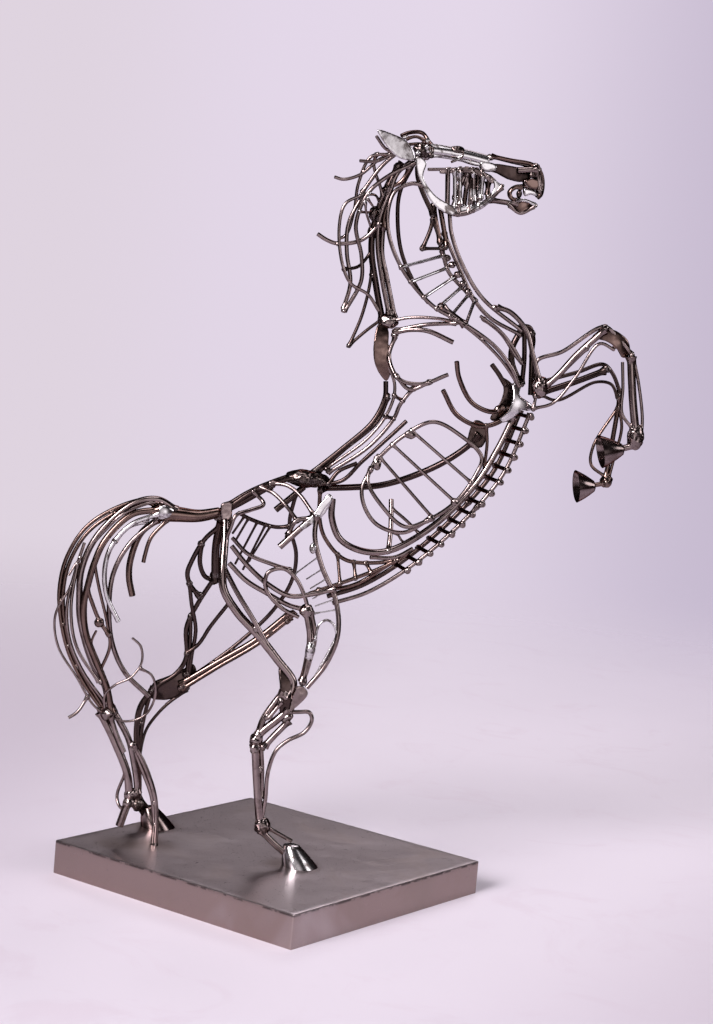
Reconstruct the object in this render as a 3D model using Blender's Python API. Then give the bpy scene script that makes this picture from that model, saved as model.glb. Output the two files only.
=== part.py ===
"""Rearing horse welded from scrap steel rod, on a square sheet steel base.

World frame: +X is the way the horse faces, +Y its left side, +Z up. The origin is under the
middle of the whole work, on the surface that it stands on. Metres.

The horse is drawn from its right side, in millimetres: x forward of the middle of the base and z
above the floor. The side drawing is a perspective one, seen from EYE and taken in the plane y = plane.
A rod that lies off that plane is moved along its sight line to its own sideways place y.
"""

import math

import bmesh
import bpy
from mathutils import Matrix, Vector

# Sizes of the work
HORSE_HEIGHT = 0.717
BASE_SIDE = 0.300
BASE_HEIGHT = 0.033
BASE_WALL = 0.003
BASE_CHAMFER = 0.0012
HOOF_WALL = 0.0025
GAP = 0.0003

# Diameters of the rod stock
WIRE = 0.0024
ROD_3 = 0.0032
ROD_4 = 0.0040
ROD_5 = 0.0048
ROD_6 = 0.0064
ROD_8 = 0.0080

# Thickness of the sheet scraps
THIN_SHEET = 0.0020
SHEET = 0.0030
THICK_SHEET = 0.0065
LIP_PLATE = 0.009
MUZZLE_PLATE = 0.010
FACE_PLATE = 0.011
NOSE_PLATE = 0.013

# The cone that carries the tail
DOCK_NECK = 0.010
DOCK_END = 0.017

# How far a raised hoof's sole is turned away from the side view, in drawing millimetres
HOOF_TURN = 3

# The side drawing
DRAWN_PLATE = 33.0
DRAWN_HORSE = 717.0
UNIT = HORSE_HEIGHT / DRAWN_HORSE
EYE = Vector((-270.9, -2162.4, 625.7))

# How finely the round pieces are faceted
SLACK = 3.0
HOOF_SIDES = 12
FLAT = math.radians(4)

STEEL = ((0.55, 0.53, 0.52), 0.30)
BRIGHT = ((0.78, 0.77, 0.76), 0.22)
BROWN = ((0.33, 0.25, 0.21), 0.38)
DARK = ((0.10, 0.085, 0.08), 0.45)

# The nodes that many rods run into. They stay whole, and the rods are cut to them
JOINTS = ("tail_low", "hock_left", "cannon_right", "forearm_right", "forearm_left", "loin", "crest_light",
          "breast_plate", "face_bar", "thigh_right", "shank_right", "rump_left", "keel", "shoulder_hook")

pieces = {}
looks = {}
routes = {}


def at(x, z, y, plane=0.0):
    """The point of the drawing taken in the given plane, moved along its sight line to y."""
    drawn = Vector((x, plane, z))
    share = (y - EYE.y) / (plane - EYE.y)
    return EYE + (drawn - EYE) * share


def world(p):
    """The place in metres of a point of the drawing."""
    return Vector((p.x * UNIT, p.y * UNIT, BASE_HEIGHT + (p.z - DRAWN_PLATE) * UNIT))


def on_rod(name, x, z, plane):
    """The point of a named rod's line that lies nearest to a point of the drawing."""
    def off(p):
        seen = EYE + (p - EYE) * ((plane - EYE.y) / (p.y - EYE.y))
        return math.hypot(seen.x - x, seen.z - z)
    line = routes[name]
    steps = [a.lerp(b, i / 12) for a, b in zip(line, line[1:]) for i in range(13)]
    return min(steps, key=off)


def through(points, steps=8):
    """A smooth curve through the points: a centripetal Catmull-Rom spline."""
    ends = [points[0] * 2 - points[1], *points, points[-1] * 2 - points[-2]]
    curve = []
    for a, b, c, d in zip(ends, ends[1:], ends[2:], ends[3:]):
        t1 = (b - a).length ** 0.5
        t2 = t1 + (c - b).length ** 0.5
        t3 = t2 + (d - c).length ** 0.5
        for i in range(steps):
            t = t1 + (t2 - t1) * i / steps
            p = a * ((t1 - t) / t1) + b * (t / t1)
            q = b * ((t2 - t) / (t2 - t1)) + c * ((t - t1) / (t2 - t1))
            r = c * ((t3 - t) / (t3 - t2)) + d * ((t - t2) / (t3 - t2))
            u = p * ((t2 - t) / t2) + q * (t / t2)
            v = q * ((t3 - t) / (t3 - t1)) + r * ((t - t1) / (t3 - t1))
            curve.append(u * ((t2 - t) / (t2 - t1)) + v * ((t - t1) / (t2 - t1)))
    return curve + [points[-1]]


def thinned(curve):
    """The points of a curve that a faceted rod needs, so that none of it lies further off than SLACK."""
    first, last = curve[0], curve[-1]
    way = (last - first).normalized()
    offs = [((p - first) - way * (p - first).dot(way)).length for p in curve]
    far = max(range(len(curve)), key=offs.__getitem__)
    if offs[far] < SLACK:
        return [first, last]
    return thinned(curve[:far + 1])[:-1] + thinned(curve[far:])


def along(line, share):
    """The point at a share of the length of a line."""
    left = share * sum((b - a).length for a, b in zip(line, line[1:]))
    for a, b in zip(line, line[1:]):
        if left <= (b - a).length:
            return a.lerp(b, left / (b - a).length)
        left -= (b - a).length
    return line[-1]


def skin(rings):
    """A closed body through the rings, with the first and the last one filled."""
    bm = bmesh.new()
    loops = [[bm.verts.new(p) for p in ring] for ring in rings]
    for low, high in zip(loops, loops[1:]):
        for i in range(len(low)):
            j = (i + 1) % len(low)
            bm.faces.new((low[i], low[j], high[j], high[i]))
    bm.faces.new(loops[0])
    bm.faces.new(loops[-1])
    bmesh.ops.recalc_face_normals(bm, faces=bm.faces)
    return bm


def circle(centre, across, along, radius, sides, turn=0.0):
    """The corners of a ring round the centre."""
    angles = [turn + 2 * math.pi * i / sides for i in range(sides)]
    return [centre + across * (radius * math.cos(a)) + along * (radius * math.sin(a)) for a in angles]


def tube(line, stock, turn, end_stock=None):
    """A faceted rod along the line, without twist. Its section has the area of the round stock."""
    sides = 4 if stock <= ROD_5 else 5 if stock <= ROD_6 else 6
    wider = math.sqrt(math.pi / (sides * math.sin(math.pi / sides) * math.cos(math.pi / sides)))
    end_stock = end_stock or stock
    rings = []
    side = None
    for i, p in enumerate(line):
        way = (line[min(i + 1, len(line) - 1)] - line[max(i - 1, 0)]).normalized()
        if side is None:
            side = way.cross(Vector((0.31, 0.9, 0.17))).normalized()
        side = (side - way * side.dot(way)).normalized()
        radius = (stock + (end_stock - stock) * i / (len(line) - 1)) / 2 * wider
        rings.append(circle(p, side, way.cross(side), radius, sides, turn))
    return skin(rings)


def add(node, build, look=None):
    """Files a shape, which is built later, under the node that it belongs to."""
    pieces.setdefault(node, []).append(build)
    if look:
        looks[node] = look


def rod(node, stock, ys, points, plane=0.0, name=None, look=None, end_stock=None):
    """A rod through points of the drawing. ys spreads its sideways place along it. Where an end is
    welded to another rod, ys has the name of that rod, and the end lies on it."""
    lengths = [0.0]
    for (x0, z0), (x1, z1) in zip(points, points[1:]):
        lengths.append(lengths[-1] + math.hypot(x1 - x0, z1 - z0))
    ys = [ys] * 2 if not isinstance(ys, list) else ys
    ends = {0: points[0], len(ys) - 1: points[-1]}
    feet = {i: on_rod(y, *ends[i], plane) for i, y in enumerate(ys) if isinstance(y, str)}
    ys = [feet[i].y if i in feet else y for i, y in enumerate(ys)]
    placed = []
    for (x, z), length in zip(points, lengths):
        place = length / lengths[-1] * (len(ys) - 1)
        i = min(int(place), len(ys) - 2)
        placed.append(at(x, z, ys[i] + (ys[i + 1] - ys[i]) * (place - i), plane))
    for i, foot in feet.items():
        placed[0 if i == 0 else -1] = foot
    route = thinned(through(placed)) if len(points) > 2 else placed
    if name:
        routes[name] = route
    line = [world(p) for p in route]
    turn = 0.7 * len(pieces.get(node, []))
    add(node, lambda: tube(line, stock, turn, end_stock), look)


def plate(node, thickness, y, outline, plane=0.0, lean=0.0, look=None):
    """A scrap of sheet with the drawn outline. lean moves it sideways for each mm forward."""
    first = outline[0][0]
    points = [world(at(x, z, y + lean * (x - first), plane)) for x, z in outline]

    def build():
        half = Vector((0, thickness / 2, 0))
        return skin([[p - half for p in points], [p + half for p in points]])
    add(node, build, look)


def weld(node, x, z, y, sizes, plane=0.0, look=None):
    """A lump of weld metal, with its sizes along X, Y and Z in drawing millimetres."""
    centre = world(at(x, z, y, plane))

    def build():
        bm = bmesh.new()
        shape = Matrix.Diagonal([s * UNIT / 2 for s in sizes] + [1])
        bmesh.ops.create_icosphere(bm, subdivisions=1, radius=1, matrix=Matrix.Translation(centre) @ shape)
        return bm
    add(node, build, look)


def hoof(node, sole, top, sole_radius, top_radius, normal, look=BRIGHT):
    """A hollow cone of sheet, open at the sole. sole and top are (x, y, z) of the ring centres."""
    low = world(Vector(sole))
    high = world(Vector(top))
    axis = Vector(normal).normalized()
    across = Vector((0, 1, 0))
    along = axis.cross(across)
    tip = (high - low).normalized()

    def build():
        def ring(centre, radius):
            return circle(centre, across, along, radius, HOOF_SIDES)
        outer, inner = sole_radius * UNIT, sole_radius * UNIT - HOOF_WALL
        narrow = top_radius * UNIT
        lid = high - tip * HOOF_WALL * 2
        return skin([
            ring(lid, max(narrow - HOOF_WALL * 0.6, HOOF_WALL * 0.4)),
            ring(low, inner),
            ring(low, outer),
            ring(high, narrow),
        ])
    add(node, build, look)


def make_base():
    half, depth = BASE_SIDE / 2, BASE_HEIGHT
    turn = Matrix.Rotation(math.radians(45), 3, "Z")

    def build():
        def square(reach, z):
            return [turn @ Vector((reach * a, reach * b, z)) for a, b in ((1, 1), (-1, 1), (-1, -1), (1, -1))]
        return skin([
            square(half - BASE_WALL, depth - BASE_WALL),
            square(half - BASE_WALL, 0),
            square(half, 0),
            square(half, depth - BASE_CHAMFER),
            square(half - BASE_CHAMFER, depth),
        ])
    add("base", build, STEEL)


def make_hooves():
    hoof("hoof_hind_right", (24, -50, 33), (14, -50, 53), 17.5, 8, (0, 0, 1))
    hoof("hoof_hind_left", (-108, 71, 33), (-118, 69, 53), 17.5, 8, (0, 0, 1))
    for node, y, low, high in (("hoof_fore_right", -29, (294, 454.8), (316, 458.8)),
            ("hoof_fore_left", 27, (273, 418.5), (291, 420))):
        sole, top = at(*low, y + HOOF_TURN), at(*high, y - HOOF_TURN)
        hoof(node, sole, top, 16.5, 5.5, top - sole)


def make_head():
    plate("face_bar", FACE_PLATE, 0, [(94, 739), (130, 736.5), (157, 731.5), (145, 720), (115, 726.5),
        (94, 725)], look=BRIGHT)
    weld("face_bar", 90, 731, 0, (17, 22, 17))
    rod("face_bar", ROD_4, [4, 10, 3], [(66, 743.5), (75, 747.5), (86.5, 748), (96, 737)])
    rod("face_bar", ROD_3, [8, 3], [(74, 736), (87, 737.5), (95, 735)])
    plate("muzzle", MUZZLE_PLATE, 0, [(147, 724), (165, 723), (185, 723.5), (202, 728), (204, 716),
        (190, 711), (170, 714), (158, 717)], look=STEEL)
    rod("muzzle", ROD_3, 0, [(156, 732), (175, 729), (201, 726)])
    plate("muzzle", NOSE_PLATE, 0, [(199, 727), (205, 721), (209, 711), (210, 703), (207, 697),
        (204, 698), (204, 708), (200, 716)])
    plate("muzzle", LIP_PLATE, 0, [(189.5, 712.5), (206.4, 713.4), (205.6, 704.5), (193.4, 705.4)])
    rod("muzzle", ROD_3, 0, [(195, 706.5), (183, 706), (176.5, 700), (179, 694), (188, 692.5)])
    rod("lower_jaw", ROD_4, [-4, 0], [(158, 690), (175, 689), (190, 688.5)], look=DARK)
    plate("lower_jaw", LIP_PLATE, 0, [(178, 687), (188, 681), (203, 687), (204, 690), (197, 694),
        (188, 690)])
    for y, side in ((-14, "right"), (12, "left")):
        rod("cheek", ROD_3, [y, y * 0.5], [(95, 714), (115, 716), (143, 718), (158, 711), (168, 704)],
            name="cheek_top_" + side, look=STEEL)
        rod("cheek", ROD_5, [y, y * 0.5], [(114, 678), (124, 674), (137, 676), (150, 684), (160, 693),
            (169, 704)], name="cheek_low_" + side)
    for top, low in (((115, 716), (117, 677)), ((126, 717), (129, 675)), ((138, 718), (138, 677)),
            ((147, 716), (148, 683))):
        rod("cheek", ROD_3, ["cheek_top_right", "cheek_low_right"], [top, low])
    for top, low in (((134, 716), (121, 677)), ((143, 716), (142, 681))):
        rod("cheek", ROD_3, ["cheek_top_left", "cheek_low_left"], [top, low])
    rod("cheek", ROD_3, ["cheek_top_right", "cheek_top_left"], [(155, 712), (157, 712)])
    rod("cheek", ROD_3, ["cheek_low_right", "cheek_low_left"], [(127, 674), (129, 674)])
    plate("cheek_strap", THIN_SHEET, -18, [(86, 727), (91, 727), (96, 710), (104, 694), (118, 685),
        (127, 677), (118, 671), (103, 681), (95, 690), (88, 708)], look=BRIGHT)
    plate("ear_right", THIN_SHEET, -19, [(42.5, 747), (60, 744), (72, 739), (80, 729), (82, 721),
        (75, 720.5), (65, 722.5), (57, 728), (50, 735)], lean=0.12, look=BRIGHT)


def make_neck():
    rod("neck_loop", ROD_4, [-12, -15, -17, -20, -27, -28, -26, -22],
        [(92, 699), (80, 699), (65, 690), (60, 669), (64, 645), (81, 614), (112, 584), (145, 569),
        (177, 550), (196, 530), (206, 512)], name="neck_loop", look=STEEL)
    rod("neck_loop", ROD_3, ["neck_loop", -25, -20], [(136, 570), (165, 554), (186, 536), (203, 516)])
    rod("crest_dark", ROD_6, 4, [(66, 714), (57, 694), (47.5, 655), (47.3, 632), (55, 598), (64, 566)],
        name="crest_dark", look=DARK)
    rod("crest_light", ROD_5, [-7, -4, -2], [(80, 722), (66, 708), (60, 688), (52.5, 661), (53, 637),
        (60, 606), (70, 572)], name="crest_light", look=STEEL)
    weld("crest_light", 70, 565, -1, (20, 16, 15))
    rod("crest_light", ROD_5, [2, 0], [(56.5, 655), (58, 629), (64, 609), (76, 569)])
    rod("crest_light", ROD_4, [0, "crest_light"], [(-6.5, 643), (3, 638), (13, 635.5), (33, 639),
        (43, 646), (52, 658)])
    rod("mane_top", ROD_3, [-6, -8], [(5, 698.5), (14, 697), (30, 703), (47, 719), (70, 731)],
        name="mane_top", look=STEEL)
    rod("mane_top", ROD_3, [-12, "mane_top"], [(28, 716), (44, 717), (60, 727)])
    rod("mane_top", ROD_4, ["mane_top", -2], [(66, 729), (50, 713), (33, 686)])
    rod("mane_top", ROD_3, ["mane_top", -6, 0, 3], [(56, 726), (39, 721), (29, 695), (27, 668), (21, 644),
        (14, 640)])
    rod("mane_back", ROD_3, [-2, -6], [(34, 684), (18, 674), (14, 652), (20, 617), (30, 598.5), (48, 589),
        (60, 574)], name="mane_back", look=STEEL)
    rod("mane_back", ROD_4, ["mane_back", 0], [(33, 684), (22.7, 655), (23.5, 628), (29.6, 599),
        (25, 573)])
    rod("mane_front", ROD_4, [-10, -12, -6, 0], [(82, 719), (59, 705.5), (39, 686), (30, 655), (38, 626),
        (40, 602), (31, 580), (26, 571)], look=BRIGHT)
    rod("crest_dark", ROD_3, ["crest_dark", 2], [(46, 633), (49, 605), (44, 570), (34, 539)],
        name="mane_low")
    rod("crest_dark", ROD_3, ["mane_low", 3], [(34, 539), (50, 555), (64, 567)])
    rod("crest_dark", ROD_3, ["mane_low", -2], [(46, 631), (36, 615.4), (22.7, 611.5)])
    rod("neck_left", ROD_4, [6, 12, 16, 18, 14], [(80, 716), (70, 690), (70, 664), (77, 632), (95, 600),
        (108, 586)], look=DARK)
    rod("jowl", ROD_4, [-8, -9], [(104, 680), (103.5, 660), (97, 638)], name="jowl", look=DARK)
    rod("jowl", ROD_3, ["jowl", -6], [(97, 638), (119, 640)])
    rod("jowl", ROD_5, [-8, "jowl"], [(84, 722), (86, 706), (92, 692), (104, 672)])
    rod("jowl", ROD_3, ["jowl", -6], [(104, 666), (111, 652), (115, 640)])
    rod("throat_front", ROD_4, [-6, -8, -10, -12], [(120, 675), (124, 655), (137, 627), (160, 596),
        (203, 567)], look=STEEL)
    rod("throat_back", ROD_4, [1, 3, 5], [(117, 654), (135, 622), (152, 594), (170, 577), (202, 563)],
        name="throat_back", look=STEEL)
    rod("throat_back", ROD_4, [-4, -2, "throat_back"], [(116, 638), (125, 617.5), (132.5, 610),
        (153, 592)], name="throat_inner")
    for back, front in (((78, 619), (119, 634)), ((89, 605), (123, 622)), ((103, 592), (130, 612)),
            ((117, 582), (138, 604)), ((131, 575), (146, 596)), ((146, 568), (152, 591))):
        rod("throat_back", ROD_3, ["neck_loop", "throat_inner"], [back, front])


def make_shoulder():
    rod("shoulder_rods", ROD_3, [-3, -16, -24], [(74, 566), (91, 570.6), (118, 572), (137, 570)],
        look=STEEL)
    rod("shoulder_rods", ROD_4, [-8, -17, -24], [(78, 557), (107, 565), (137, 569)])
    rod("shoulder_rods", ROD_5, [-8, -19, -24], [(77, 555), (93, 559), (110, 559), (136, 550)])
    plate("shoulder_hook", SHEET, -9, [(62, 560), (57, 545), (58, 523), (67, 514), (71, 507), (77, 512),
        (74, 535), (70, 557)])
    rod("shoulder_hook", ROD_4, [-8, -10, -20, -24, -26],
        [(78, 551), (74, 531), (86, 510), (108, 507), (134, 518.5)], name="shoulder_hook", look=STEEL)
    rod("shoulder_hook", ROD_4, ["shoulder_hook", "shoulder_hook"], [(83, 514), (97, 501), (117, 509)])
    rod("loin", ROD_5, [0, 0], [(73, 507), (73.5, 491), (64, 467), (35, 437), (8, 412)], look=DARK)
    rod("loin", ROD_4, [1, 1], [(77, 492), (68, 467), (38, 437), (14, 412)])
    weld("loin", 4, 406, 0, (44, 24, 17))
    rod("spine_right", ROD_3, [-8, -7, -4], [(67, 533), (82, 504), (79, 480), (61, 451), (22, 417)],
        name="spine_light", look=STEEL)
    rod("spine_right", ROD_4, [-18, -12, -8], [(100, 502), (89, 485), (84, 471), (62, 442), (24, 413)],
        name="spine_dark")
    for high, low in (((82, 493), (92, 488)), ((76, 473), (85, 471)), ((22, 416), (27, 415))):
        rod("spine_right", ROD_3, ["spine_light", "spine_dark"], [high, low])


def make_ribs():
    rod("rib_frame", ROD_4, [-24, -30, -34, -34, -34, -38, -42, -42, -36, -24],
        [(70, 429), (94, 454), (123, 471), (150, 461), (175, 440), (171, 423), (154, 395), (129, 375),
        (105, 366), (81, 384), (64, 409), (71, 432)], name="rib_frame", look=STEEL)
    rod("rib_frame", ROD_4, ["rib_frame", -34, -38, "rib_frame"],
        [(67, 420), (59, 400), (64, 381), (78, 365.5), (104, 360), (128, 374)])
    for high, low in (((73, 434), (131, 377)), ((86, 446), (153, 394)), ((105, 459), (167, 414))):
        rod("rib_frame", ROD_3, ["rib_frame", "rib_frame"], [high, low])
    rod("loin", ROD_4, [-7, -18, -26], [(16, 401), (39, 407), (56, 426), (87, 459), (97, 470)],
        name="loin_right")
    rod("loin", ROD_4, ["loin_right", -9], [(26, 401), (34, 415), (52, 425)])
    rod("rib_left", ROD_6, [10, 34, 44, 42, 34, 26], [(20, 398), (50, 401), (77, 405), (105, 415),
        (137, 432), (161, 451), (170, 463)], look=DARK)
    plate("rib_left", SHEET, 27, [(160, 450), (174, 450), (178, 470), (165, 476)])
    rod("keel", ROD_6, [-30, -26, -20, -12, -8, -6], [(31, 388), (32, 369), (42, 349), (64.5, 339),
        (91, 341), (131, 367), (170, 411), (190, 449), (203, 482)], name="keel", look=STEEL)
    rod("keel", ROD_5, [-4, "keel"], [(89, 392), (91, 365), (90, 342)], name="post")
    rod("keel", ROD_3, ["post", "keel"], [(90, 384), (106, 372), (121, 359)])
    rod("keel_inner", ROD_4, [12, 16, 10, 0], [(18, 396), (20, 368), (27, 349), (48, 329.5), (78, 328),
        (102, 334), (112, 342)], name="keel_inner", look=BROWN)
    rod("keel_inner", ROD_4, [2, 6, "keel_inner"], [(16, 293), (59, 311), (88, 325), (101, 334)],
        name="belly_rod")
    rod("keel_inner", ROD_4, ["belly_rod", 12, "belly_rod"], [(26, 297), (60, 305), (98, 331)])
    for high, low in (((40, 332), (46, 306)), ((57, 328), (61, 312)), ((70, 328), (75, 319))):
        rod("keel_inner", ROD_3, ["keel_inner", "belly_rod"], [high, low])


def stretch(line, low, high):
    """The part of a line between two shares of its length."""
    lengths = [(b - a).length for a, b in zip(line, line[1:])]
    shares = [sum(lengths[:i]) / sum(lengths) for i in range(len(line))]
    inner = [p for p, share in zip(line, shares) if low + 0.01 < share < high - 0.01]
    return [along(line, low), *inner, along(line, high)]


def make_belly_ladder():
    """Two rails, one each side of the middle plane, with rungs across them, in a rear and a front length."""
    drawn = [(40, 285), (73, 298), (107, 321), (140, 351), (176, 392), (199, 427), (219, 487)]
    reach = 21
    rail = thinned(through([at(x, z, -reach) for x, z in drawn]))
    count = 15
    joint = 0.62
    first, last = 0.28, 0.985
    lengths = {"belly_ladder_rear": (0.0, joint), "belly_ladder_front": (joint, 1.0)}
    for node, (low, high) in lengths.items():
        for way in (1, -1):
            line = [world(Vector((p.x, p.y * way, p.z))) for p in stretch(rail, low, high)]
            add(node, lambda line=line: tube(line, ROD_4, 0.3), STEEL)
        for i in range(count):
            share = first + (last - first) * i / (count - 1)
            if low < share < high:
                p = along(rail, share)
                ends = [world(Vector((p.x, side, p.z))) for side in (-reach, reach)]
                add(node, lambda ends=ends: tube(ends, ROD_3, 0.9))


def make_breast():
    rod("breast_right", ROD_5, [-14, -20, -24], [(176, 588), (190, 584), (207.5, 567.5), (216, 545),
        (226, 519)], look=STEEL)
    rod("breast_left", ROD_5, [8, 14, 20], [(202, 571), (210, 571), (215, 560), (215, 545), (222, 522)],
        name="breast_left", look=DARK)
    rod("breast_left", ROD_5, [8, 6], [(205, 570), (208, 539), (208, 515)])
    rod("breast_left", ROD_5, ["breast_left", 10], [(213, 566), (216, 530), (217.5, 505)])
    rod("breast_left", ROD_6, [8, 3], [(203, 570), (195, 550), (196, 535), (205, 517)])
    rod("breast_inner", ROD_3, -16, [(160, 578), (180, 566), (196, 550), (206, 536)], look=STEEL)
    rod("breast_inner", ROD_3, [-14, -14, -16], [(164, 575), (183, 562), (200, 541), (205, 537)])
    plate("breast_sheet", SHEET, 2, [(185, 521), (190, 510), (189, 497.5), (180, 478), (200, 478),
        (206, 486), (201, 512)], look=DARK)
    rod("breast_sheet", ROD_5, 2, [(176, 532), (184, 523), (192, 512)])
    rod("breast_arcs", ROD_5, [-22, -14, -6], [(141, 532), (145, 516), (160, 493), (181, 485.5),
        (192, 491)], look=BROWN)
    rod("breast_arcs", ROD_5, [-20, -12, -6], [(130, 503), (146, 480), (170, 470.5), (190, 477),
        (200, 489)], name="arc_low")
    rod("breast_arcs", ROD_5, [-6, -6], [(186, 489), (202, 490)])
    rod("breast_arcs", ROD_3, ["arc_low", -7], [(176, 472), (179, 455), (178, 420)])
    plate("breast_plate", SHEET, -16, [(195, 512.5), (205, 516), (210, 507.5), (220, 499), (226, 497),
        (217.5, 491), (207.5, 487.5), (200, 494)], look=BRIGHT)


def make_forelegs():
    right = -28
    weld("forearm_right", 226, 514, -20, (16, 18, 20), look=STEEL)
    rod("forearm_right", ROD_4, [-20, right], [(222, 521), (221, 539), (245, 550), (285, 578), (298, 570),
        (316, 553)])
    rod("forearm_right", ROD_6, [-20, right], [(222, 506), (242, 525), (261, 549), (286, 575)])
    rod("forearm_right", ROD_3, [-20, right], [(222, 492), (241, 499), (261, 526), (282, 561),
        (298, 556)])
    rod("forearm_right", ROD_3, -20, [(222, 492), (224, 512)])
    plate("forearm_right", SHEET, right, [(275, 562), (292, 573), (309, 562), (308, 547), (297, 554)])
    rod("cannon_fore_right", ROD_8, right, [(315, 551), (318, 530), (322, 505), (328, 476)], look=STEEL)
    rod("cannon_fore_right", ROD_3, right, [(318, 549), (325, 527), (333, 491), (334, 466)])
    rod("cannon_fore_right", ROD_3, right, [(307, 545), (310, 520), (312, 494), (324, 480)])
    weld("cannon_fore_right", 328, 472, right, (17, 13, 26))
    rod("cannon_fore_right", ROD_6, right, [(330, 464), (317, 460)])
    left = 27
    weld("forearm_left", 226, 512, 19, (16, 14, 20), look=DARK)
    rod("forearm_left", ROD_4, [20, left], [(222, 517), (262, 531), (288, 541), (298, 533), (308, 514)])
    rod("forearm_left", ROD_6, [20, left], [(228, 508), (262, 522), (290, 535)])
    rod("forearm_left", ROD_3, [20, left], [(228, 506), (245, 502), (282, 523), (298, 522), (306, 509)])
    rod("cannon_fore_left", ROD_5, left, [(308, 510), (306, 481), (302, 430)], look=BROWN)
    rod("cannon_fore_left", ROD_3, left, [(308, 500), (313, 480), (308, 447), (305, 428)])
    rod("cannon_fore_left", ROD_3, left, [(307, 500), (286, 459), (286, 441), (302, 430)])
    weld("cannon_fore_left", 303, 426, left, (13, 12, 14))
    rod("cannon_fore_left", ROD_5, left, [(303, 424), (291, 421)])


def make_croup():
    rod("croup_top", ROD_5, -5, [(-70, 372), (-51, 387), (-30, 398), (-4, 408)], look=DARK)
    rod("croup_top", ROD_5, 2, [(-72, 374), (-51, 389), (-30, 400), (-2, 412)])
    rod("croup_top", ROD_6, [0, -2], [(-78, 366), (-60, 377), (-30, 397)])
    rod("dock", DOCK_NECK, 0, [(-78, 367), (-98, 362), (-120, 362), (-137, 362)], end_stock=DOCK_END,
        look=BROWN)
    rod("hip_rods", ROD_4, [-8, -24, -30], [(-40, 394), (-27.6, 389.5), (-12.4, 376.5), (-2, 364)],
        look=STEEL)
    rod("hip_rods", ROD_4, [-8, -20, -32], [(-30, 399), (-15, 398), (-2, 390), (14, 371)])
    rod("hip_rods", ROD_6, [-32, -34], [(15, 371), (3, 358), (-17, 337)], name="hip_bar")
    rod("hip_rods", ROD_5, ["hip_bar", -29], [(10, 368), (-3, 364), (-10, 349)])
    rod("croup_inner", ROD_6, [8, 10], [(-24, 373), (-8, 388), (2, 398)], name="stub", look=DARK)
    rod("croup_inner", ROD_4, ["stub", 28, 42, 50, 54], [(-5, 389), (-9, 361), (0, 331), (-2, 305),
        (-18, 274), (-51, 238), (-92, 203)], name="thigh_left")
    rod("croup_inner", ROD_4, [14, 26, "thigh_left"], [(-60, 368), (-46.5, 362), (-23, 356.5), (-8, 358)],
        name="hip_left")
    for high, low in (((-54, 365), (-64, 347)), ((-49, 363), (-61, 339)), ((-41, 360), (-59, 317)),
            ((-33, 358), (-51, 312)), ((-28, 357), (-46, 321))):
        rod("croup_inner", WIRE, ["hip_left", 30], [high, low])


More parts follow.
